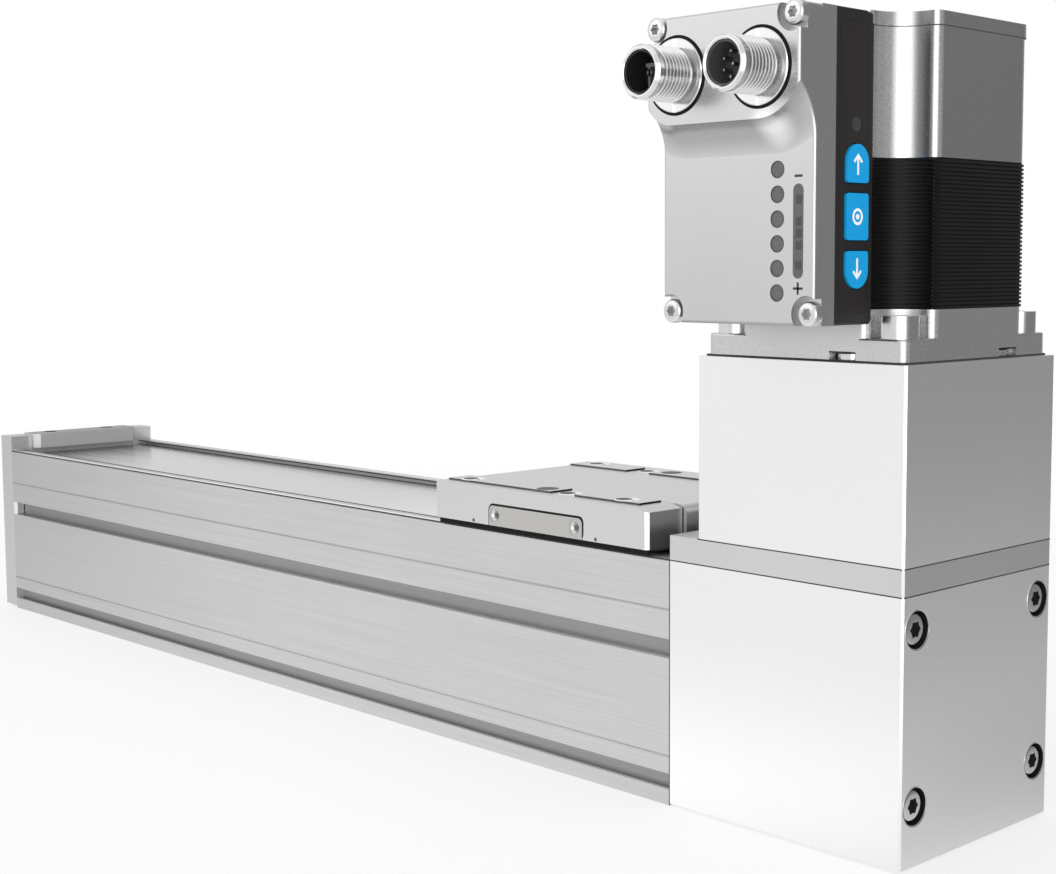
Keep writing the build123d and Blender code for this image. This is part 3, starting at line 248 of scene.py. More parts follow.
def makeFinishes():
    # Painted facing light: an entry is a direction, the cosines where it starts and is full, and the factor
    # that lightens or darkens faces looking that way. Some have two heights as well, and the factor at the
    # lower one. A spot is a painted highlight: a place, a radius and a factor
    metals = {
        # Profile: painted shade deep in the side slots and towards the end cap, painted light on the lip
        # tops
        "profileAluminium": {"colour": grey(0.58), "roughness": 0.42, "grain": 1500,
                             "stretch": (0.008, 1, 1), "shade": 0.12, "bump": 0.00003,
                             "slotShadeDepth": 0.0285, "slotShadeFactor": 0.55, "along": (-0.19, 0.0, 0.8, 1.0),
                             "paintedFacingLight": [((0, 0, 1), 0.8, 0.95, 1.65)]},
        # End cap: painted light on faces looking to +X
        "capAluminium": {"colour": grey(0.53), "roughness": 0.42, "drift": 0.01,
                         "paintedFacingLight": [((1, 0, 0), 0.8, 0.95, 1.8)]},
        # Strip clamp: painted shade on its top
        "clampAluminium": {"colour": grey(0.62), "metallic": 0.5, "roughness": 0.45, "drift": 0.01,
                           "paintedFacingLight": [((0, 0, 1), 0.8, 0.95, 0.42)]},
        "sideCoverAluminium": {"colour": (0.5, 0.49, 0.475, 1), "roughness": 0.38, "shade": 0.06},
        # Drive housing: painted light by height, the front brighter near the floor, the +X faces darker near
        # the floor and higher up. Its bright also serves for painted glints and painted light on the
        # carriage and in the slots
        "housingAluminiumAndHighlight": {"colour": grey(0.9), "roughness": 0.4, "drift": 0.01,
                             "paintedFacingLight": [((0, -1, 0), 0.9, 0.98, 0.9, 0.0, 0.05, 1.08),
                                       ((1, 0, 0), 0.9, 0.98, 1.06, 0.005, 0.04, 0.9),
                                       ((1, 0, 0), 0.9, 0.98, 0.86, 0.065, 0.11, 1.0)]},
        # Adapter plate: painted light on faces looking to +X
        "plateAluminium": {"colour": grey(0.6), "roughness": 0.4, "paintedFacingLight": [((1, 0, 0), 0.8, 0.95, 1.25)]},
        # Carriage: painted shade on faces looking to +X and on its top
        "carriageAluminium": {"colour": grey(0.62), "roughness": 0.36,
                              "paintedFacingLight": [((1, 0, 0), 0.9, 0.98, 0.6), ((0, 0, 1), 0.9, 0.98, 0.94)]},
        "machinedAluminium": {"colour": grey(0.68), "metallic": 0.8, "roughness": 0.32, "grain": 1500,
                              "stretch": (0.02, 1, 1), "shade": 0.14, "bump": 0.00003},
        # Motor housing: painted shade on the front faces from a height upwards, painted highlights on faces
        # looking just either side of +X, and painted light on the +X faces, brighter low and darker high
        "castAluminium": {"colour": grey(0.56), "roughness": 0.29, "grain": 2400, "shade": 0.12,
                          "bump": 0.00003, "drift": 0.04,
                          "paintedFacingLight": [((0.03, -1, 0), 0.89, 0.975, 0.4, 0.12, 0.15, 1.0),
                                    ((0.95, -0.3, 0), 0.97, 0.998, 1.4),
                                    ((0.976, 0.22, 0), 0.98, 0.995, 1.4),
                                    ((1, 0, 0), 0.997, 0.9999, 0.84, 0.123, 0.157, 1.12)]},
        # Cover: painted shade on faces looking down and towards -X, and a painted highlight on the blend
        # below the boss
        "coverAluminium": {"colour": grey(0.57), "roughness": 0.27, "grain": 3200, "shade": 0.03,
                           "bump": 0.000002, "roughSwing": 0.005,
                           "paintedFacingLight": [((0, -0.6, -0.8), 0.65, 0.95, 0.68),
                                     ((-0.6, -0.5, -0.6), 0.85, 1.0, 0.75)],
                           "spots": [((0.2240, -0.0508, 0.1622), 0.0062, 2.0)]},
        # Cover strip: painted reflection, brighter towards +X
        "stripSteel": {"colour": grey(0.6), "metallic": 1.0, "roughness": 0.26, "grain": 1100,
                       "stretch": (0.01, 1, 1), "shade": 0.1, "bump": 0.00001,
                       "along": (0.0, 0.16, 0.9, 1.5)},
        "zincSteel": {"colour": grey(0.66), "metallic": 1.0, "roughness": 0.2, "grain": 1800,
                      "shade": 0.03, "bump": 0.00001},
        "nickelSteel": {"colour": grey(0.68), "metallic": 1.0, "roughness": 0.18, "grain": 2200,
                        "shade": 0.02, "bump": 0.000002},
        # Darker steel on the floors of screw recesses and dishes: painted shade
        "recessShadeSteel": {"colour": grey(0.3), "metallic": 1.0, "roughness": 0.3, "grain": 1800,
                      "shade": 0.1, "bump": 0.00001},
        "bearingSteel": {"colour": grey(0.55), "metallic": 1.0, "roughness": 0.3, "grain": 1600,
                         "shade": 0.1, "bump": 0.00001},
        # Black laminations; on the stack core, seen in the grooves, being darker than the ridges is painted
        # shade
        "blackLaminations": {"colour": grey(0.003), "metallic": 0.2, "roughness": 0.5, "shade": 0.2,
                             "bump": 0.00003},
        # Stack ridges: painted shade on faces looking towards the -Y, +X corner and on faces looking to -Y
        "finBlack": {"colour": grey(0.045), "metallic": 0.9, "roughness": 0.34, "shade": 0.2,
                     "paintedFacingLight": [((0.707, -0.707, 0), 0.6, 0.92, 0.25), ((0, -1, 0), 0.6, 0.95, 0.5)]},
        "copperWinding": {"colour": (0.5, 0.22, 0.09, 1), "metallic": 0.9, "roughness": 0.35, "grain": 1400,
                          "stretch": (1, 1, 4), "shade": 0.3, "bump": 0.0001},
        "contactBrass": {"colour": (0.85, 0.68, 0.36, 1), "metallic": 1.0, "roughness": 0.2, "grain": 3000,
                         "bump": 0.00001},
        "pinSilver": {"colour": grey(0.3), "metallic": 1.0, "roughness": 0.3, "grain": 3000,
                      "bump": 0.00001},
    }
    plastics = {
        "blackPlastic": {"colour": (0.016, 0.014, 0.0135, 1), "roughness": 0.42, "grain": 3800,
                         "bump": 0.00002, "shine": 0.35},
        "greyPlastic": {"colour": grey(0.06), "roughness": 0.45, "grain": 3000, "bump": 0.00002},
        "keyBlue": {"colour": (0.008, 0.32, 0.68, 1), "roughness": 0.4, "shine": 0.2},
        "signWhite": {"colour": grey(0.9), "roughness": 0.4},
        "signBlack": {"colour": grey(0.02), "roughness": 0.5},
        "panelEdge": {"colour": grey(0.006), "roughness": 0.3},
        # Grey of the power key, and of painted shade in the sockets of the side cover screws
        "keyAndSocketShadeGrey": {"colour": grey(0.09), "roughness": 0.45},
        "segmentSmoke": {"colour": grey(0.045), "roughness": 0.3, "grain": 1400},
        # Grey of the seam lines, and of painted shade in the gaps beside the cover strip and under the motor
        # flange
        "seamAndShadeGrey": {"colour": grey(0.06), "roughness": 0.6, "shine": 0.03},
        # Grey of painted shade on the pad steps and in the table holes, and of the small plugs on the
        # carriage's sides
        "stepShadeAndPlugGrey": {"colour": grey(0.1), "roughness": 0.5, "shine": 0.1},
        "lensSmoke": {"colour": grey(0.09), "roughness": 0.3, "grain": 1400, "coat": 0.3},
        "windowSmoke": {"colour": grey(0.08), "roughness": 0.25, "grain": 1400, "coat": 0.4},
        "lampSmoke": {"colour": grey(0.035), "roughness": 0.35, "grain": 1400, "coat": 0.2},
        "beltRubber": {"colour": grey(0.02), "roughness": 0.7, "bump": 0.00004},
        # Black rubber of the seals; the same black is painted shade in screw recesses and gaps, on the pad
        # ends, in the table gap and under the clamp
        "sealRubberAndShade": {"colour": grey(0.012), "roughness": 0.6, "bump": 0.00003, "shine": 0.06},
        "spiderRubber": {"colour": (0.6, 0.05, 0.04, 1), "roughness": 0.45, "bump": 0.00003},
        "boardGreen": {"colour": (0.02, 0.14, 0.05, 1), "roughness": 0.35, "bump": 0.00002, "coat": 0.3},
    }
    finishes = {name: metalFinish(name, look) for name, look in metals.items()}
    finishes.update({name: plasticFinish(name, look) for name, look in plastics.items()})
    return finishes


slotFinish = {
    "profile_aluminium": "profileAluminium", "housing_aluminium": "housingAluminiumAndHighlight",
    "plate_aluminium": "plateAluminium", "machined_aluminium": "machinedAluminium",
    "cast_aluminium": "castAluminium", "cover_aluminium": "coverAluminium", "strip_steel": "stripSteel",
    "bearing_steel": "bearingSteel", "zinc_steel": "zincSteel", "nickel_steel": "nickelSteel",
    "black_laminations": "blackLaminations", "copper_winding": "copperWinding", "belt_rubber": "beltRubber",
    "spider_rubber": "spiderRubber", "seal_rubber": "sealRubberAndShade", "black_plastic": "blackPlastic",
    "grey_plastic": "greyPlastic", "key_plastic": "keyBlue", "lens_plastic": "lensSmoke",
    "window_plastic": "windowSmoke", "lamp_plastic": "lampSmoke", "board_laminate": "boardGreen",
    "contact_brass": "contactBrass",
}
nodeFinish = {
    "carriage_table": "carriageAluminium", "strip_deflectors": "carriageAluminium",
    "end_cap": "capAluminium", "strip_clamps": "clampAluminium", "side_covers": "sideCoverAluminium",
}


def dressNodes(finishes):
    slots = {part["node"]: part["material_slot"] for part in frame["record"]["subparts"]}
    for name, node in nodes.items():
        finish = finishes[nodeFinish.get(name) or slotFinish[slots[name]]]
        node.data.materials.clear()
        node.data.materials.append(finish)


# Modelling tools. Every piece is made where it belongs, in metres

touching = 0.000002  # Points closer than this are at one place
overshoot = 0.001  # How far a thin piece's cutter runs past it
smoothAngle = math.radians(32)  # Flatter edges than this are shaded smooth


def deselect():
    bpy.ops.object.select_all(action="DESELECT")


def pick(*pieces):
    deselect()
    for piece in pieces:
        piece.select_set(True)
    bpy.context.view_layer.objects.active = pieces[0]


def settle(piece):
    pick(piece)
    bpy.ops.object.transform_apply(location=True, rotation=True, scale=True)
    return piece


def addBox(low, high):
    centre = [(first + second) / 2 for first, second in zip(low, high)]
    size = [abs(second - first) for first, second in zip(low, high)]
    deselect()
    bpy.ops.mesh.primitive_cube_add(size=1, location=centre)
    bpy.ops.transform.resize(value=size)
    return settle(bpy.context.object)


def addRod(radius, start, end, sides):
    start = Vector(start)
    direction = Vector(end) - start
    turn = direction.to_track_quat("Z", "Y").to_euler()
    deselect()
    bpy.ops.mesh.primitive_cylinder_add(vertices=sides, radius=radius, depth=direction.length,
                                        location=start + direction / 2, rotation=turn)
    return settle(bpy.context.object)


def selectWhere(piece, mode, test):
    # Leaves the piece in edit mode with those vertices or edges selected that pass the test
    pick(piece)
    bpy.ops.object.mode_set(mode="EDIT")
    bpy.ops.mesh.select_mode(type=mode)
    bpy.ops.mesh.select_all(action="DESELECT")
    bpy.ops.object.mode_set(mode="OBJECT")
    points = piece.data.vertices
    if mode == "VERT":
        for point in points:
            point.select = test(point.co)
    else:
        for edge in piece.data.edges:
            first, second = edge.vertices
            edge.select = test(points[first].co, points[second].co)
    bpy.ops.object.mode_set(mode="EDIT")


def roundEdges(piece, test, width, segments=2):
    selectWhere(piece, "EDGE", test)
    bpy.ops.mesh.bevel(offset=width, segments=segments, affect="EDGES")
    bpy.ops.object.mode_set(mode="OBJECT")
    return piece


def useModifier(piece, kind, settings):
    modifier = piece.modifiers.new(kind.lower(), kind)
    for key, value in settings.items():
        setattr(modifier, key, value)
    pick(piece)
    bpy.ops.object.modifier_apply(modifier=modifier.name)
    return piece


def carve(piece, *cutters):
    for cutter in cutters:
        useModifier(piece, "BOOLEAN", {"operation": "DIFFERENCE", "solver": "EXACT", "object": cutter})
        bpy.data.objects.remove(cutter)
    return piece


def joinAll(pieces, name):
    pick(*pieces)
    if len(pieces) > 1:
        bpy.ops.object.join()
    piece = bpy.context.object
    piece.name = name
    return piece


def copyTo(source, places, name):
    # Copies of a piece made along +Z at the origin, each turned to a direction and moved to a place
    copies = []
    for place, direction in places:
        pick(source)
        bpy.ops.object.duplicate()
        copy = bpy.context.object
        copy.rotation_euler = Vector(direction).to_track_quat("Z", "Y").to_euler()
        copy.location = place
        copies.append(settle(copy))
    bpy.data.objects.remove(source)
    return joinAll(copies, name)


def spinShape(profile, sides):
    # A closed shape from a profile of (radius, height) points, turned round the Z axis. It starts from
    # one point, which a small plane is merged into
    deselect()
    bpy.ops.mesh.primitive_plane_add(size=0.001)
    bpy.ops.object.mode_set(mode="EDIT")
    bpy.ops.mesh.select_mode(type="VERT")
    bpy.ops.mesh.merge(type="CENTER")
    last = (0, 0)
    for index, (radius, height) in enumerate(profile):
        step = (radius - last[0], 0, height - last[1])
        if index == 0:
            bpy.ops.transform.translate(value=step)
        else:
            bpy.ops.mesh.extrude_vertices_move(TRANSFORM_OT_translate={"value": step})
        last = (radius, height)
    bpy.ops.mesh.select_all(action="SELECT")
    bpy.ops.mesh.spin(steps=sides, angle=2 * math.pi, center=(0, 0, 0), axis=(0, 0, 1))
    bpy.ops.mesh.select_all(action="SELECT")
    bpy.ops.mesh.remove_doubles(threshold=touching)
    bpy.ops.mesh.normals_make_consistent(inside=False)
    bpy.ops.object.mode_set(mode="OBJECT")
    return bpy.context.object


def present(piece, finish, body="root", replaced=()):
    piece.data.materials.clear()
    piece.data.materials.append(finishes[finish])
    pick(piece)
    bpy.ops.object.shade_smooth_by_angle(angle=smoothAngle)
    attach(piece, body)
    if replaced:
        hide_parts(*replaced)
    deselect()


def ringShape(inner, outer, low, high, sides):
    return spinShape([(inner, low), (outer, low), (outer, high), (inner, high), (inner, low)], sides)


# Screws with six lobed recesses

star = {"lobes": 6, "waist": 0.72, "lobeRound": 0.16, "floorFit": 0.98, "floorSink": 0.0001,
        "floorRise": 0.00015, "headSides": 40, "shankSides": 16}


def starCutter(radius, low, high):
    # Every second corner is drawn in, and the corners are rounded
    corners = 2 * star["lobes"]
    step = 360 / corners
    cutter = addRod(radius, (0, 0, low), (0, 0, high), corners)

    def isWaist(point):
        return round(math.degrees(math.atan2(point.y, point.x)) / step) % 2 == 1
    selectWhere(cutter, "VERT", isWaist)
    bpy.ops.transform.resize(value=(star["waist"], star["waist"], 1), center_override=(0, 0, 0))
    bpy.ops.object.mode_set(mode="OBJECT")
    return roundEdges(cutter, lambda a, b: abs(a.z - b.z) > (high - low) / 2, radius * star["lobeRound"])


def starScrew(look):
    # Its head stands on height 0 and faces +Z
    top = look["height"]
    head = addRod(look["radius"], (0, 0, 0), (0, 0, top), star["headSides"])
    head = roundEdges(head, lambda a, b: min(a.z, b.z) > top - touching, look["round"], 3)
    carve(head, starCutter(look["recess"], top - look["depth"], top + look["depth"]))
    shank = addRod(look["shank"], (0, 0, -look["reach"]), (0, 0, 0), star["shankSides"])
    return joinAll([head, shank], "starScrew")


def recessShadePlate(look):
    # Dark plate on the floor of the recess: painted shade in the recess
    floor = look["height"] - look["depth"]
    low, high = floor - star["floorSink"], floor + star["floorRise"]
    return starCutter(look["recess"] * star["floorFit"], low, high)


def makeEndScrews():
    look = {"radius": 0.004, "height": 0.0029, "round": 0.0012, "recess": 0.0021, "depth": 0.0016,
            "shank": 0.002, "reach": 0.0156}
    bore = {"inner": 0.00408, "outer": 0.00434, "face": 0.0034, "sink": 0.0001, "sides": 48}
    rim = {"half": 0.00022, "deep": 0.0004, "drop": 0.0002, "proud": 0.00012}
    low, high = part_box("end_screws")
    places = []
    for y in (low.y + look["radius"], high.y - look["radius"]):
        for z in (low.z + look["radius"], high.z - look["radius"]):
            places.append(((high.x - look["height"], y, z), (1, 0, 0)))
            places.append(((low.x + look["height"], y, z), (-1, 0, 0)))
    screws = copyTo(starScrew(look), places, "endScrews")
    present(screws, "zincSteel", "root", ["end_screws"])
    # Dark plates in the recesses: painted shade
    present(copyTo(recessShadePlate(look), places, "endScrewFloors"), "sealRubberAndShade")
    # Dark ring in the gap between head and bore: painted shade
    gap = ringShape(bore["inner"], bore["outer"], 0, bore["face"] - bore["sink"], bore["sides"])
    present(copyTo(gap, places, "endScrewGapShades"), "sealRubberAndShade")
    # Bright chamfer round each bore: its outer edge stands proud, its inner edge lies lower
    inner, outer = bore["outer"] - rim["half"], bore["outer"] + rim["half"]
    bottom = bore["face"] - rim["deep"]
    profile = [(inner, bottom), (outer, bottom), (outer, bore["face"] + rim["proud"]),
               (inner, bore["face"] - rim["drop"]), (inner, bottom)]
    chamfer = spinShape(profile, bore["sides"])
    present(copyTo(chamfer, places, "endScrewRims"), "zincSteel")


def makeCoverScrews():
    look = {"radius": 0.0027, "height": 0.0023, "round": 0.0008, "recess": 0.0014, "depth": 0.0011,
            "shank": 0.0015, "reach": 0.008, "bossStep": 0.0053}
    low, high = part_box("electronics_screws")
    places = []
    for x in (low.x + look["radius"], high.x - look["radius"]):
        front = low.y + look["height"]
        places.append(((x, front, high.z - look["radius"]), (0, -1, 0)))
        places.append(((x, front + look["bossStep"], low.z + look["radius"]), (0, -1, 0)))
    screws = copyTo(starScrew(look), places, "coverScrews")
    present(screws, "nickelSteel", "root", ["electronics_screws"])
    # Darker plates in the recesses: painted shade
    present(copyTo(recessShadePlate(look), places, "coverScrewFloors"), "recessShadeSteel")


def makeSideScrews():
    look = {"radius": 0.0021, "height": 0.0009, "dish": 0.0011, "brim": 0.0015, "dishFloor": 0.0004,
            "recess": 0.0008, "depth": 0.0004, "shank": 0.0012, "reach": 0.0065, "sides": 32}
    collar = {"outer": 0.0023, "deep": 0.0002, "proud": 0.00001, "sides": 40}
    plate = {"deep": 0.0001, "proud": 0.00002}
    low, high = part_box("side_cover_screws")
    z = (low.z + high.z) / 2
    places = []
    for x in (low.x + look["radius"], high.x - look["radius"]):
        places.append(((x, low.y + look["height"], z), (0, -1, 0)))
        places.append(((x, high.y - look["height"], z), (0, 1, 0)))
    # The head is dished, so that its sloped edge shines
    top, floor = look["height"], look["dishFloor"]
    profile = [(0, floor), (look["dish"], floor), (look["brim"], top), (look["radius"], top),
               (look["radius"], 0), (look["shank"], 0), (look["shank"], -look["reach"]), (0, -look["reach"])]
    screws = copyTo(spinShape(profile, look["sides"]), places, "sideCoverScrews")
    present(screws, "zincSteel", "carriage", ["side_cover_screws"])
    low, high = top - collar["deep"], top + collar["proud"]
    brim = ringShape(look["brim"], collar["outer"], low, high, collar["sides"])
    present(copyTo(brim, places, "sideCoverBrims"), "sideCoverAluminium", "carriage")
    # Darker disc on the floor of the dish: painted shade
    low, high = floor - plate["deep"], floor + plate["proud"]
    disc = addRod(look["dish"], (0, 0, low), (0, 0, high), look["sides"])
    present(copyTo(disc, places, "sideCoverDishShades"), "recessShadeSteel", "carriage")
    # Grey star in the dish: painted shade of the socket
    socket = recessShadePlate({**look, "height": floor + look["depth"]})
    present(copyTo(socket, places, "sideCoverSocketShades"), "keyAndSocketShadeGrey", "carriage")


def makeTopScrews():
    looks = {
        "strip_clamp_screws": {"name": "stripClampScrews", "radius": 0.00275, "height": 0.0016,
                               "round": 0.0003, "recess": 0.0016, "depth": 0.001, "shank": 0.0015,
                               "reach": 0.0132},
        "motor_rear_screws": {"name": "motorRearScrews", "radius": 0.00275, "height": 0.002,
                              "round": 0.0003, "recess": 0.0016, "depth": 0.0012, "shank": 0.0015,
                              "reach": 0.0089},
    }
    for node, look in looks.items():
        low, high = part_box(node)
        places = []
        for x in sorted({round(low.x + look["radius"], 6), round(high.x - look["radius"], 6)}):
            for y in (low.y + look["radius"], high.y - look["radius"]):
                places.append(((x, y, high.z - look["height"]), (0, 0, 1)))
        screws = copyTo(starScrew(look), places, look["name"])
        present(screws, "zincSteel", "root", [node])
        # Darker plates in the recesses: painted shade
        present(copyTo(recessShadePlate(look), places, look["name"] + "Floors"), "recessShadeSteel")


# Motor stack with its rows of ridges

def motorBlank(inset, bottom, top):
    # A slice of the motor's outline: a square with a round hollow at each corner
    look = {"scallop": 0.0087, "scallopCentre": 0.0266, "corner": 0.0022, "overshoot": 0.01, "sides": 48}
    low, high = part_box("stator_stack")
    centre = (low + high) / 2
    reach = (high.x - low.x) / 2 - inset
    piece = addBox((centre.x - reach, centre.y - reach, bottom), (centre.x + reach, centre.y + reach, top))
    for i in (-1, 1):
        for j in (-1, 1):
            x = centre.x + i * look["scallopCentre"]
            y = centre.y + j * look["scallopCentre"]
            start, end = bottom - look["overshoot"], top + look["overshoot"]
            carve(piece, addRod(look["scallop"] + inset, (x, y, start), (x, y, end), look["sides"]))

    def isCorner(a, b):
        upright = abs(a.z - b.z) > (top - bottom) / 2
        onSide = max(abs(a.x - centre.x), abs(a.y - centre.y)) > reach - touching
        return upright and onSide
    return roundEdges(piece, isCorner, look["corner"], 3)


def makeStack():
    look = {"ridges": 36, "groove": 0.0003, "edge": 0.00016, "coreInset": 0.0006}
    low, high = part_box("stator_stack")
    pitch = (high.z - low.z) / look["ridges"]
    fin = motorBlank(0, low.z, low.z + pitch - look["groove"])
    fin = roundEdges(fin, lambda a, b: abs(a.z - b.z) < touching, look["edge"], 1)
    step = {"count": look["ridges"], "use_relative_offset": False, "use_constant_offset": True,
            "constant_offset_displace": (0, 0, pitch)}
    fins = useModifier(fin, "ARRAY", step)
    fins.name = "stackRidges"
    present(fins, "finBlack", "root", ["stator_stack"])
    # The core, seen in the grooves, has a darker finish than the ridges: painted shade in the grooves
    core = motorBlank(look["coreInset"], low.z, high.z)
    core.name = "stackCore"
    present(core, "blackLaminations")


# Round connectors: threaded shells, inserts and pins

def threadedShell(look):
    # Turned along +Z: height 0 is the face of the boss
    top, crest = look["length"], look["radius"]
    root = crest - look["threadDepth"]
    bore, lip, chamfer = look["bore"], look["lip"], look["chamfer"]
    crown, landEnd = crest - look["landInset"], top - look["land"]
    outer = [(bore, top - lip), (bore + lip, top), (crest - chamfer, top), (crown, top - chamfer),
             (crown, landEnd), (root, landEnd - look["relief"])]
    rise, fall, foot = look["flanks"]
    for turn in range(look["threads"]):
        height = landEnd - look["threadStart"] - turn * look["pitch"]
        outer += [(root, height), (crest, height - look["pitch"] * rise),
                  (crest, height - look["pitch"] * fall), (root, height - look["pitch"] * foot)]
    low, flange, edge = -look["flange"], look["flange"], look["flangeEdge"]
    inner = [(root, flange), (look["flangeRadius"] - edge, flange), (look["flangeRadius"], flange - edge),
             (look["flangeRadius"], low), (look["neck"], low), (look["neck"], -look["depth"]),
             (0, -look["depth"]), (0, look["floor"]), (bore, look["floor"])]
    shell = spinShape(outer + inner + outer[:1], look["sides"])
    half = look["slotWidth"] / 2
    for side in (-1, 1):
        y = side * (look["flangeRadius"] - look["slotLength"] / 2)
        bottom, upper = look["slotHeights"]
        slot = addBox((-half, y - look["slotLength"] / 2, bottom), (half, y + look["slotLength"] / 2, upper))
        carve(shell, slot)
    return shell


def makeConnectors():
    look = {"length": 0.0118, "radius": 0.006, "threadDepth": 0.0008, "bore": 0.0047, "lip": 0.0003,
            "chamfer": 0.0007, "land": 0.0019, "landInset": 0.0001, "relief": 0.0003, "threadStart": 0.0005,
            "threads": 8, "pitch": 0.00104, "flanks": (0.36, 0.5, 0.86), "flange": 0.0006,
            "flangeRadius": 0.008, "flangeEdge": 0.0002, "neck": 0.00525, "depth": 0.0073, "floor": -0.0043,
            "slotWidth": 0.0011, "slotLength": 0.0018, "slotHeights": (0.0001, 0.002), "sides": 64}
    inserts = {
        "power": {"finish": "blackPlastic", "slot": "black_plastic", "face": 0.0050},
        "logic": {"finish": "greyPlastic", "slot": "grey_plastic", "face": 0.0058},
    }
    cup = {"outer": 0.00462, "inner": 0.0043, "top": 0.0112, "sides": 48}
    out = (0, -1, 0)
    for name, insert in inserts.items():
        low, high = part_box(name + "_connector")
        place = Vector(((low.x + high.x) / 2, low.y + look["length"], (low.z + high.z) / 2))
        shell = copyTo(threadedShell(look), [(place, out)], name + "Shell")
        present(shell, "nickelSteel", "root", [name + "_connector"])
        profile = [(0, look["floor"]), (cup["outer"], look["floor"]), (cup["outer"], cup["top"]),
                   (cup["inner"], cup["top"]), (cup["inner"], insert["face"]), (0, insert["face"])]
        sleeve = copyTo(spinShape(profile, cup["sides"]), [(place, out)], name + "Sleeve")
        present(sleeve, insert["finish"], "root", [name + "_insert"])
        if name == "power":
            makePowerKey(place, insert["face"])
        else:
            makePins(place, insert["face"])


def makePowerKey(place, face):
    # The bar, stem and block that stand between the power contacts
    key = {"barLength": 0.0034, "barHeight": 0.0008, "barShift": 0.3, "rise": 0.0012, "stem": 0.0006,
           "stemLength": 0.0042, "block": 0.0013, "reach": 0.0034}
    back = place.y - face
    front = back - key["reach"]
    barLow = place.z + key["rise"]
    bar = addBox((place.x - key["barLength"] * key["barShift"], front, barLow),
                 (place.x + key["barLength"] * (1 - key["barShift"]), back, barLow + key["barHeight"]))
    stem = addBox((place.x - key["stem"] / 2, front, barLow - key["stemLength"]),
                  (place.x + key["stem"] / 2, back, barLow))
    half = key["block"] / 2
    diamond = addBox((place.x - half, front, place.z - half), (place.x + half, back, place.z + half))
    bpy.ops.transform.rotate(value=math.radians(45), orient_axis="Y", center_override=place)
    settle(diamond)
    present(joinAll([bar, stem, diamond], "powerKey"), "keyAndSocketShadeGrey")


def makePins(place, face):
    # A circle of pins with one in the middle, and the key at the side of the insert
    look = {"circle": 0.00275, "count": 7, "radius": 0.00042, "length": 0.0028, "sides": 12,
            "keyRadius": 0.00055, "keyLength": 0.00484, "keyShift": 0.0043, "keyRise": 0.0006,
            "keySides": 16}
    back = place.y - face
    tip = back - look["length"]
    pins = []
    for index in range(look["count"] + 1):
        angle = 2 * math.pi * index / look["count"]
        reach = look["circle"] if index < look["count"] else 0
        x, z = place.x + reach * math.cos(angle), place.z + reach * math.sin(angle)
        pin = addRod(look["radius"], (x, back, z), (x, tip, z), look["sides"])
        pins.append(roundEdges(pin, lambda a, b: max(a.y, b.y) < tip + touching, look["radius"] * 0.5))
    present(joinAll(pins, "logicPins"), "pinSilver", "root", ["connector_contacts"])
    x, z = place.x + look["keyShift"], place.z + look["keyRise"]
    key = addRod(look["keyRadius"], (x, back, z), (x, back - look["keyLength"], z), look["keySides"])
    present(joinAll([key], "logicKey"), "signWhite")


# Marks on the cover, the window, the lenses and the keys

lensSink = 0.00015  # How far the lenses lie behind the cover's face


def makeCoverMarks():
    # Minus and plus above and below the level window
    look = {"proud": 0.00003, "stroke": 0.00052, "minus": 0.0021, "plus": 0.0026, "minusRise": 0.0016,
            "plusDrop": 0.0021}
    low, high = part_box("level_window")
    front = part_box("indicator_lenses")[0].y - lensSink
    x = (low.x + high.x) / 2
    half = look["stroke"] / 2
    minusZ = high.z + look["minusRise"]
    plusZ = low.z - look["plusDrop"]
    sizes = [(look["minus"] / 2, half, minusZ), (look["plus"] / 2, half, plusZ),
             (half, look["plus"] / 2, plusZ)]
    bars = []
    for wide, tall, z in sizes:
        bars.append(addBox((x - wide, front - look["proud"], z - tall), (x + wide, front, z + tall)))
    present(joinAll(bars, "levelSigns"), "signBlack")


def makeWindowSegments():
    look = {"heights": (0.0028, 0.0070, 0.0095, 0.0120, 0.0165), "tall": 0.0019, "wide": 0.0015,
            "proud": 0.00004}
    low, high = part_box("level_window")
    x = (low.x + high.x) / 2
    segments = []
    for height in look["heights"]:
        z = low.z + height
        segments.append(addBox((x - look["wide"] / 2, low.y - look["proud"], z - look["tall"] / 2),
                               (x + look["wide"] / 2, low.y + look["proud"], z + look["tall"] / 2)))
    present(joinAll(segments, "levelSegments"), "segmentSmoke")


def makeLensRims():
    look = {"radius": 0.0017, "width": 0.00016, "proud": 0.00002, "deep": 0.0001, "count": 6, "sides": 40}
    low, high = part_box("indicator_lenses")
    front = low.y - lensSink
    pitch = (high.z - low.z - 2 * look["radius"]) / (look["count"] - 1)
    x = (low.x + high.x) / 2
    outer = look["radius"] + look["width"]
    rims = []
    for index in range(look["count"]):
        z = low.z + look["radius"] + index * pitch
        rim = addRod(outer, (x, front - look["proud"], z), (x, front + look["deep"], z), look["sides"])
        cutter = addRod(look["radius"], (x, front - overshoot, z), (x, front + overshoot, z), look["sides"])
        rims.append(carve(rim, cutter))
    present(joinAll(rims, "lensRims"), "signBlack")


def addBar(centre, length, width, depth, turn):
    # A thin white stroke on a face that looks along +X, turned in the plane of that face
    bar = addBox((centre[0] - depth, centre[1] - width / 2, centre[2] - length / 2),
                 (centre[0] + depth, centre[1] + width / 2, centre[2] + length / 2))
    bpy.ops.transform.rotate(value=turn, orient_axis="X", center_override=centre)
    return settle(bar)


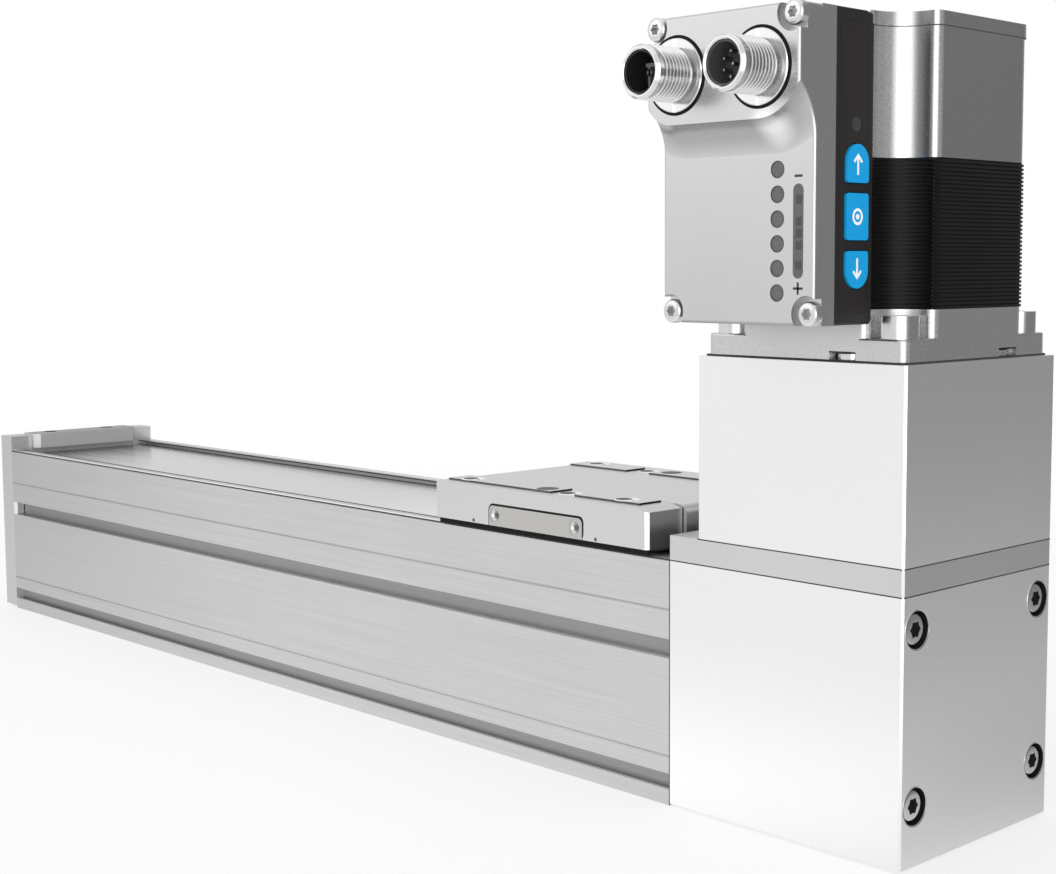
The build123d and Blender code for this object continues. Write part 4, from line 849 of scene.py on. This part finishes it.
def makeKeySigns():
    look = {"length": 0.0043, "stroke": 0.0006, "arm": 0.0022, "armShift": 0.3,
            "armLifts": ((-1, 1.1), (1, 1.7)), "drop": 0.0003, "proud": 0.00003, "deep": 0.0001,
            "ring": 0.0018, "ringSides": 48, "dotSides": 24}
    slant = math.radians(45)
    for node, direction in (("up_key", 1), ("down_key", -1)):
        low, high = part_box(node)
        y, z = (low.y + high.y) / 2, (low.z + high.z) / 2 - direction * look["drop"]
        face = high.x
        bars = [addBar((face, y, z), look["length"], look["stroke"], look["proud"], 0)]
        tip = z + direction * look["length"] / 2
        shift = look["arm"] / 2 * math.sin(slant)
        for side, lift in look["armLifts"]:
            centre = (face, y + side * (shift - look["stroke"] * look["armShift"]), tip - direction * shift)
            turn = -side * direction * slant
            bars.append(addBar(centre, look["arm"], look["stroke"], look["proud"] * lift, turn))
        present(joinAll(bars, node.split("_")[0] + "Arrow"), "signWhite", node)
    low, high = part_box("middle_key")
    y, z = (low.y + high.y) / 2, (low.z + high.z) / 2
    face = high.x
    start, end = (face - look["deep"], y, z), (face + look["proud"], y, z)
    ring = addRod(look["ring"], start, end, look["ringSides"])
    inner = look["ring"] - look["stroke"]
    carve(ring, addRod(inner, (face - overshoot, y, z), (face + overshoot, y, z), look["ringSides"]))
    dot = addRod(look["stroke"], start, end, look["dotSides"])
    present(joinAll([ring, dot], "middleSign"), "signWhite", "middle_key")


def roundedPlate(low, high, axis, radius):
    # A box whose four edges along the axis (0 for X, 1 for Y) are rounded
    plate = addBox(low, high)
    depth = abs(high[axis] - low[axis])

    def isAlong(a, b):
        return abs(abs(a[axis] - b[axis]) - depth) < touching
    return roundEdges(plate, isAlong, radius, 5)


def makePanelLine():
    # Edge of the panel on the side of the box
    look = {"proud": 0.00002, "deep": 0.0001, "width": 0.0002, "corner": 0.0012,
            "sideMargins": (0.0012, 0.0016), "endMargins": (0.0024, 0.0025)}
    low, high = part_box("electronics_base")
    face = high.x
    nearY, farY = low.y + look["sideMargins"][0], high.y - look["sideMargins"][1]
    lowZ, highZ = low.z + look["endMargins"][0], high.z - look["endMargins"][1]
    first = (face - look["deep"], nearY, lowZ)
    line = roundedPlate(first, (face + look["proud"], farY, highZ), 0, look["corner"])
    inner = look["width"]
    first = (face - overshoot, nearY + inner, lowZ + inner)
    second = (face + overshoot, farY - inner, highZ - inner)
    carve(line, roundedPlate(first, second, 0, look["corner"] - inner))
    present(joinAll([line], "panelLine"), "panelEdge")


# Thin dark lines where two parts meet, painted shade and light in gaps, steps, holes and slots, and the
# seals of the carriage

def makeSeams():
    # One dark line round each joint of the tower, on its three open sides, and one round the rear cap. The
    # line under the motor flange is wider, partly the dark joint and partly painted shadow under the flange
    look = {"half": 0.00015, "flangeShadowHalf": 0.00028, "flangeRise": 0.0002, "proud": 0.000015, "wall": 0.001,
            "cornerGap": 0.0004, "capProud": 0.00001, "capTall": 0.00016}
    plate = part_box("adapter_plate")
    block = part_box("coupling_housing")
    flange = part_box("motor_front_housing")
    spots = [(plate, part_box("drive_housing")[1].z, look["half"]), (block, block[0].z, look["half"]),
             (flange, block[1].z + look["flangeRise"], look["flangeShadowHalf"])]
    strips = []
    for (low, high), z, half in spots:
        end = high.x - look["cornerGap"]
        faces = [((low.x, low.y - look["proud"]), (end, low.y + look["wall"])),
                 ((low.x, high.y - look["wall"]), (end, high.y + look["proud"])),
                 ((high.x - look["wall"], low.y + look["cornerGap"]),
                  (high.x + look["proud"], high.y - look["cornerGap"]))]
        for first, second in faces:
            strips.append(addBox((*first, z - half), (*second, z + half)))
    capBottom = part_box("motor_rear_cap")[0].z
    strips.append(motorBlank(-look["capProud"], capBottom - look["capTall"], capBottom - look["capProud"]))
    present(joinAll(strips, "jointLinesAndFlangeShadow"), "seamAndShadeGrey")


def makeProfileLines():
    # Dark lines at the outer edge of each lip and at the seam to the drive housing, and painted shade on
    # both sides of the gaps to the cover strip
    look = {"wide": 0.00022, "tall": 0.00022, "proud": 0.000015, "gapShadeWide": 0.001, "gapShadeTall": 0.0003,
            "seam": 0.0003, "sideGap": 0.00001}
    low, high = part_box("profile")
    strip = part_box("cover_strip")
    top, stripTop = high.z + look["proud"], strip[1].z
    lines = []
    for side in (-1, 1):
        outer = side * (high.y + look["proud"])
        inner = side * (strip[1].y + look["sideGap"])
        outerEnd = outer - side * look["wide"]
        lines.append(addBox((low.x, outer, top - look["tall"]), (high.x, outerEnd, top)))
        gapEnd = inner + side * look["gapShadeWide"]
        lines.append(addBox((low.x, inner, top - look["gapShadeTall"]), (high.x, gapEnd, top)))
        stripEnd = inner + side * look["wide"]
        lines.append(addBox((low.x, inner, stripTop), (high.x, stripEnd, stripTop + look["tall"])))
        lines.append(addBox((high.x - look["seam"], outer, low.z), (high.x, outerEnd, top)))
    present(joinAll(lines, "profileLinesAndGapShade"), "seamAndShadeGrey")
    # Shadow below the clamp's front edge
    shade = {"start": -0.1716, "end": -0.1709, "sideGap": 0.0002, "tall": 0.0004}
    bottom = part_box("strip_clamps")[0].z
    shadow = addBox((shade["start"], strip[0].y + shade["sideGap"], bottom - shade["tall"]),
                    (shade["end"], strip[1].y - shade["sideGap"], bottom))
    present(joinAll([shadow], "clampShadow"), "sealRubberAndShade")
    # Bright patch in each side slot, beside the end cap: painted light
    patch = {"length": 0.0016, "half": 0.00235, "middle": 0.0393, "sink": 0.0008, "deep": 0.0034}
    patches = []
    for side in (-1, 1):
        front, back = side * (high.y - patch["sink"]), side * (high.y - patch["deep"])
        patches.append(addBox((low.x, front, patch["middle"] - patch["half"]),
                           (low.x + patch["length"], back, patch["middle"] + patch["half"])))
    present(joinAll(patches, "slotEndLights"), "housingAluminiumAndHighlight")


def makeCarriageLines():
    # Painted shade: dark steps round the raised pads, black ends of the pads towards +X, and a dark wall in
    # the gap below the table
    look = {"rise": 0.00045, "proud": 0.00002, "inset": 0.0012, "endInset": 0.0008, "gapShadeThick": 0.0006,
            "clear": 0.0001}
    pads = {"middle": 0.1248, "halfLength": 0.0372, "outer": 0.0274, "inner": 0.0195,
            "gap": (0.0046, 0.0138)}
    low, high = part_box("carriage_table")
    thin = look["proud"]
    z0, z1 = high.z - look["rise"], high.z - thin
    steps, ends = [], []
    for side in (-1, 1):
        first, last = pads["gap"] if side < 0 else (-pads["gap"][1], -pads["gap"][0])
        nearY, farY = sorted((side * pads["inner"], side * pads["outer"]))
        for start, end in ((-pads["halfLength"], first), (last, pads["halfLength"])):
            x0, x1 = pads["middle"] + start, pads["middle"] + end
            steps.append(addBox((x0 - thin, nearY - thin, z0), (x1 + thin, nearY + thin, z1)))
            steps.append(addBox((x0 - thin, farY - thin, z0), (x1 + thin, farY + thin, z1)))
            steps.append(addBox((x0 - thin, nearY - thin, z0), (x0 + thin, farY + thin, z1)))
            ends.append(addBox((x1 - thin, nearY - thin, z0), (x1 + thin, farY + thin, z1)))
    present(joinAll(steps, "padStepShades"), "stepShadeAndPlugGrey", "carriage")
    present(joinAll(ends, "padEndShades"), "sealRubberAndShade", "carriage")
    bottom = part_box("side_covers")[0].z
    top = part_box("profile")[1].z
    walls = []
    for side in (-1, 1):
        outer = side * (high.y - look["inset"])
        walls.append(addBox((low.x + look["endInset"], outer, top + look["clear"]),
                            (high.x - look["endInset"], outer - side * look["gapShadeThick"], bottom)))
    present(joinAll(walls, "tableGapShade"), "sealRubberAndShade", "carriage")


def makeTableHoles():
    # Bright rims round the threaded holes: painted glints on their countersinks. Dark discs in the holes,
    # beside them and for the wide bores in the pads: painted shade inside them. And two small plugs in each
    # side
    look = {"middle": 0.1248, "pitch": 0.03, "row": 0.0245, "gapStep": 0.0092, "hole": 0.0021, "rim": 0.0033,
            "bore": 0.003, "boreRow": 0.0241, "proud": 0.00002, "deep": 0.0001, "step": 0.00045,
            "plug": 0.0005, "plugPlaces": (0.1035, 0.151), "plugRise": 0.0007, "offset": 0.0011,
            "sides": 40, "plugSides": 16}
    low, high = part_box("carriage_table")
    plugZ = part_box("side_covers")[0].z + look["plugRise"]
    rims, holes = [], []

    def disc(radius, x, y, z):
        return addRod(radius, (x, y, z - look["deep"]), (x, y, z), look["sides"])
    for side in (-1, 1):
        y = side * look["row"]
        spots = [(look["middle"] - look["pitch"], high.z), (look["middle"] + look["pitch"], high.z),
                 (look["middle"] - side * look["gapStep"], high.z - look["step"])]
        for x, face in spots:
            rims.append(disc(look["rim"], x, y, face + look["proud"]))
            holes.append(disc(look["hole"], x - look["offset"], y, face + 2 * look["proud"]))
            holes.append(disc(look["plug"], x + look["hole"], y, face + 2 * look["proud"]))
        holes.append(disc(look["bore"], look["middle"], side * look["boreRow"], high.z + look["proud"]))
        face = low.y if side < 0 else high.y
        for x in look["plugPlaces"]:
            start, end = (x, face - side * look["deep"], plugZ), (x, face + side * look["proud"], plugZ)
            holes.append(addRod(look["plug"], start, end, look["plugSides"]))
    present(joinAll(rims, "holeRimHighlights"), "housingAluminiumAndHighlight", "carriage")
    present(joinAll(holes, "holeShades"), "stepShadeAndPlugGrey", "carriage")


def makeSideSeals():
    # Rubber between each side cover and its pocket
    look = {"width": 0.0006, "thin": 0.00003, "proud": 0.000015, "deep": 0.0012, "corner": 0.0016}
    low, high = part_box("side_covers")
    grow = look["width"]
    for side, name in ((-1, "nearSeal"), (1, "farSeal")):
        face = low.y if side < 0 else high.y
        outer = face + side * look["proud"]
        inner = face - side * look["deep"]
        first = (low.x - look["thin"], outer, low.z)
        seal = roundedPlate(first, (high.x + grow, inner, high.z + grow), 1, look["corner"])
        first = (low.x, outer + side * overshoot, low.z - overshoot)
        second = (high.x, inner - side * overshoot, high.z)
        carve(seal, roundedPlate(first, second, 1, look["corner"] - grow))
        seal.name = name
        present(seal, "sealRubberAndShade", "carriage")


# Studio: white floor and world, soft lamps

def makeWorld():
    # White to the camera. What reflects has a shaded side and a bright one
    studio = {"bright": 0.95, "shade": 0.27, "shadeAzimuth": 45.0, "shadeBand": (0.05, 0.8),
              "horizonBand": (-0.75, -0.2), "glow": 1.7, "glowAzimuth": 315.0, "glowBand": (0.84, 0.97)}
    world = bpy.data.worlds.new("whiteStudio")
    bpy.context.scene.world = world
    sheet = Sheet("whiteStudio", world)
    direction = sheet.add("ShaderNodeTexCoord", output="Generated")

    def facing(azimuth):
        angle = math.radians(azimuth)
        links = {0: direction, 1: (math.cos(angle), math.sin(angle), 0)}
        return sheet.add("ShaderNodeVectorMath", {"operation": "DOT_PRODUCT"}, links, output="Value")
    height = sheet.add("ShaderNodeSeparateXYZ", {}, {"Vector": direction}, output="Z")
    shade = facing(studio["shadeAzimuth"]).ramp(*studio["shadeBand"]) * height.ramp(*studio["horizonBand"])
    level = studio["bright"] - shade * (studio["bright"] - studio["shade"])
    level = level + facing(studio["glowAzimuth"]).ramp(*studio["glowBand"]) * studio["glow"]
    camera = sheet.add("ShaderNodeLightPath", output="Is Camera Ray")
    background = sheet.tree.nodes["Background"]
    sheet.plug(background.inputs["Color"], (1, 1, 1, 1))
    sheet.plug(background.inputs["Strength"], level * (1 - camera) + camera)


def makeFloor():
    # White floor that fades out. Reflections of it are bright in front and shaded at the motor end
    look = {"size": 3.0, "level": -0.0002, "colour": 0.95, "roughness": 0.9, "fade": (0.3, 0.62),
            "lift": 0.62, "bright": 1.08, "shade": 0.45, "shadeBand": (0.05, 0.3),
            "shadeWay": (0.7071, 0.7071, 0)}
    white = (1, 1, 1, 1)
    bpy.ops.mesh.primitive_plane_add(size=look["size"], location=(0, 0, look["level"]))
    floor = bpy.context.object
    floor.name = "studioFloor"
    sheet = Sheet("studioFloor")
    sheet.surface({"Base Color": grey(look["colour"]), "Roughness": look["roughness"]})
    place = sheet.add("ShaderNodeTexCoord", output="Object")
    distance = sheet.add("ShaderNodeVectorMath", {"operation": "LENGTH"}, {0: place}, output="Value")
    links = {0: place, 1: look["shadeWay"]}
    side = sheet.add("ShaderNodeVectorMath", {"operation": "DOT_PRODUCT"}, links, output="Value")
    glow = side.ramp(*look["shadeBand"], look["bright"], look["shade"])
    mirrored = sheet.add("ShaderNodeEmission", {}, {"Color": white, "Strength": glow})
    plain = sheet.add("ShaderNodeEmission", {}, {"Color": white, "Strength": 1.0})
    glossy = sheet.add("ShaderNodeLightPath", output="Is Glossy Ray")
    clear = sheet.add("ShaderNodeBsdfTransparent")
    camera = sheet.add("ShaderNodeLightPath", output="Is Camera Ray")
    shader = Wire(sheet, sheet.tree.nodes["Principled BSDF"].outputs[0])
    lifted = sheet.add("ShaderNodeMixShader", {}, {0: camera * look["lift"], 1: shader, 2: plain})
    lit = sheet.add("ShaderNodeMixShader", {}, {0: glossy, 1: lifted, 2: mirrored})
    mix = sheet.add("ShaderNodeMixShader", {}, {0: distance.ramp(*look["fade"]), 1: lit, 2: clear})
    sheet.plug(sheet.tree.nodes["Material Output"].inputs["Surface"], mix)
    floor.data.materials.append(sheet.owner)


def makeLamps():
    aim = Vector((0.08, 0, 0.08))
    lamps = {
        "keyLamp": {"place": (-0.9, -1.6, 1.0), "size": 1.6, "power": 4},
        "topLamp": {"place": (0.1, 0.2, 1.8), "size": 2.0, "power": 3},
        "sideLamp": {"place": (1.9, 0.1, 0.5), "size": 1.2, "power": 8, "shines": False},
    }
    for name, lamp in lamps.items():
        data = bpy.data.lights.new(name, "AREA")
        data.size = lamp["size"]
        data.energy = lamp["power"]
        light = bpy.data.objects.new(name, data)
        light.location = lamp["place"]
        light.visible_glossy = lamp.get("shines", True)
        light.rotation_mode = "QUATERNION"
        light.rotation_quaternion = (aim - light.location).to_track_quat("-Z", "Y")
        bpy.context.scene.collection.objects.link(light)


makeCamera()
finishes = makeFinishes()
dressNodes(finishes)
print("camera and finishes made")
makeEndScrews()
makeCoverScrews()
makeSideScrews()
makeTopScrews()
print("screws made")
makeStack()
makeConnectors()
print("stack and connectors made")
makeCoverMarks()
makeWindowSegments()
makeLensRims()
makeKeySigns()
makePanelLine()
makeSeams()
makeProfileLines()
makeCarriageLines()
makeTableHoles()
makeSideSeals()
print("marks, seams and seals made")
makeWorld()
makeFloor()
makeLamps()
bpy.context.scene.view_settings.view_transform = "Standard"
print("studio made")
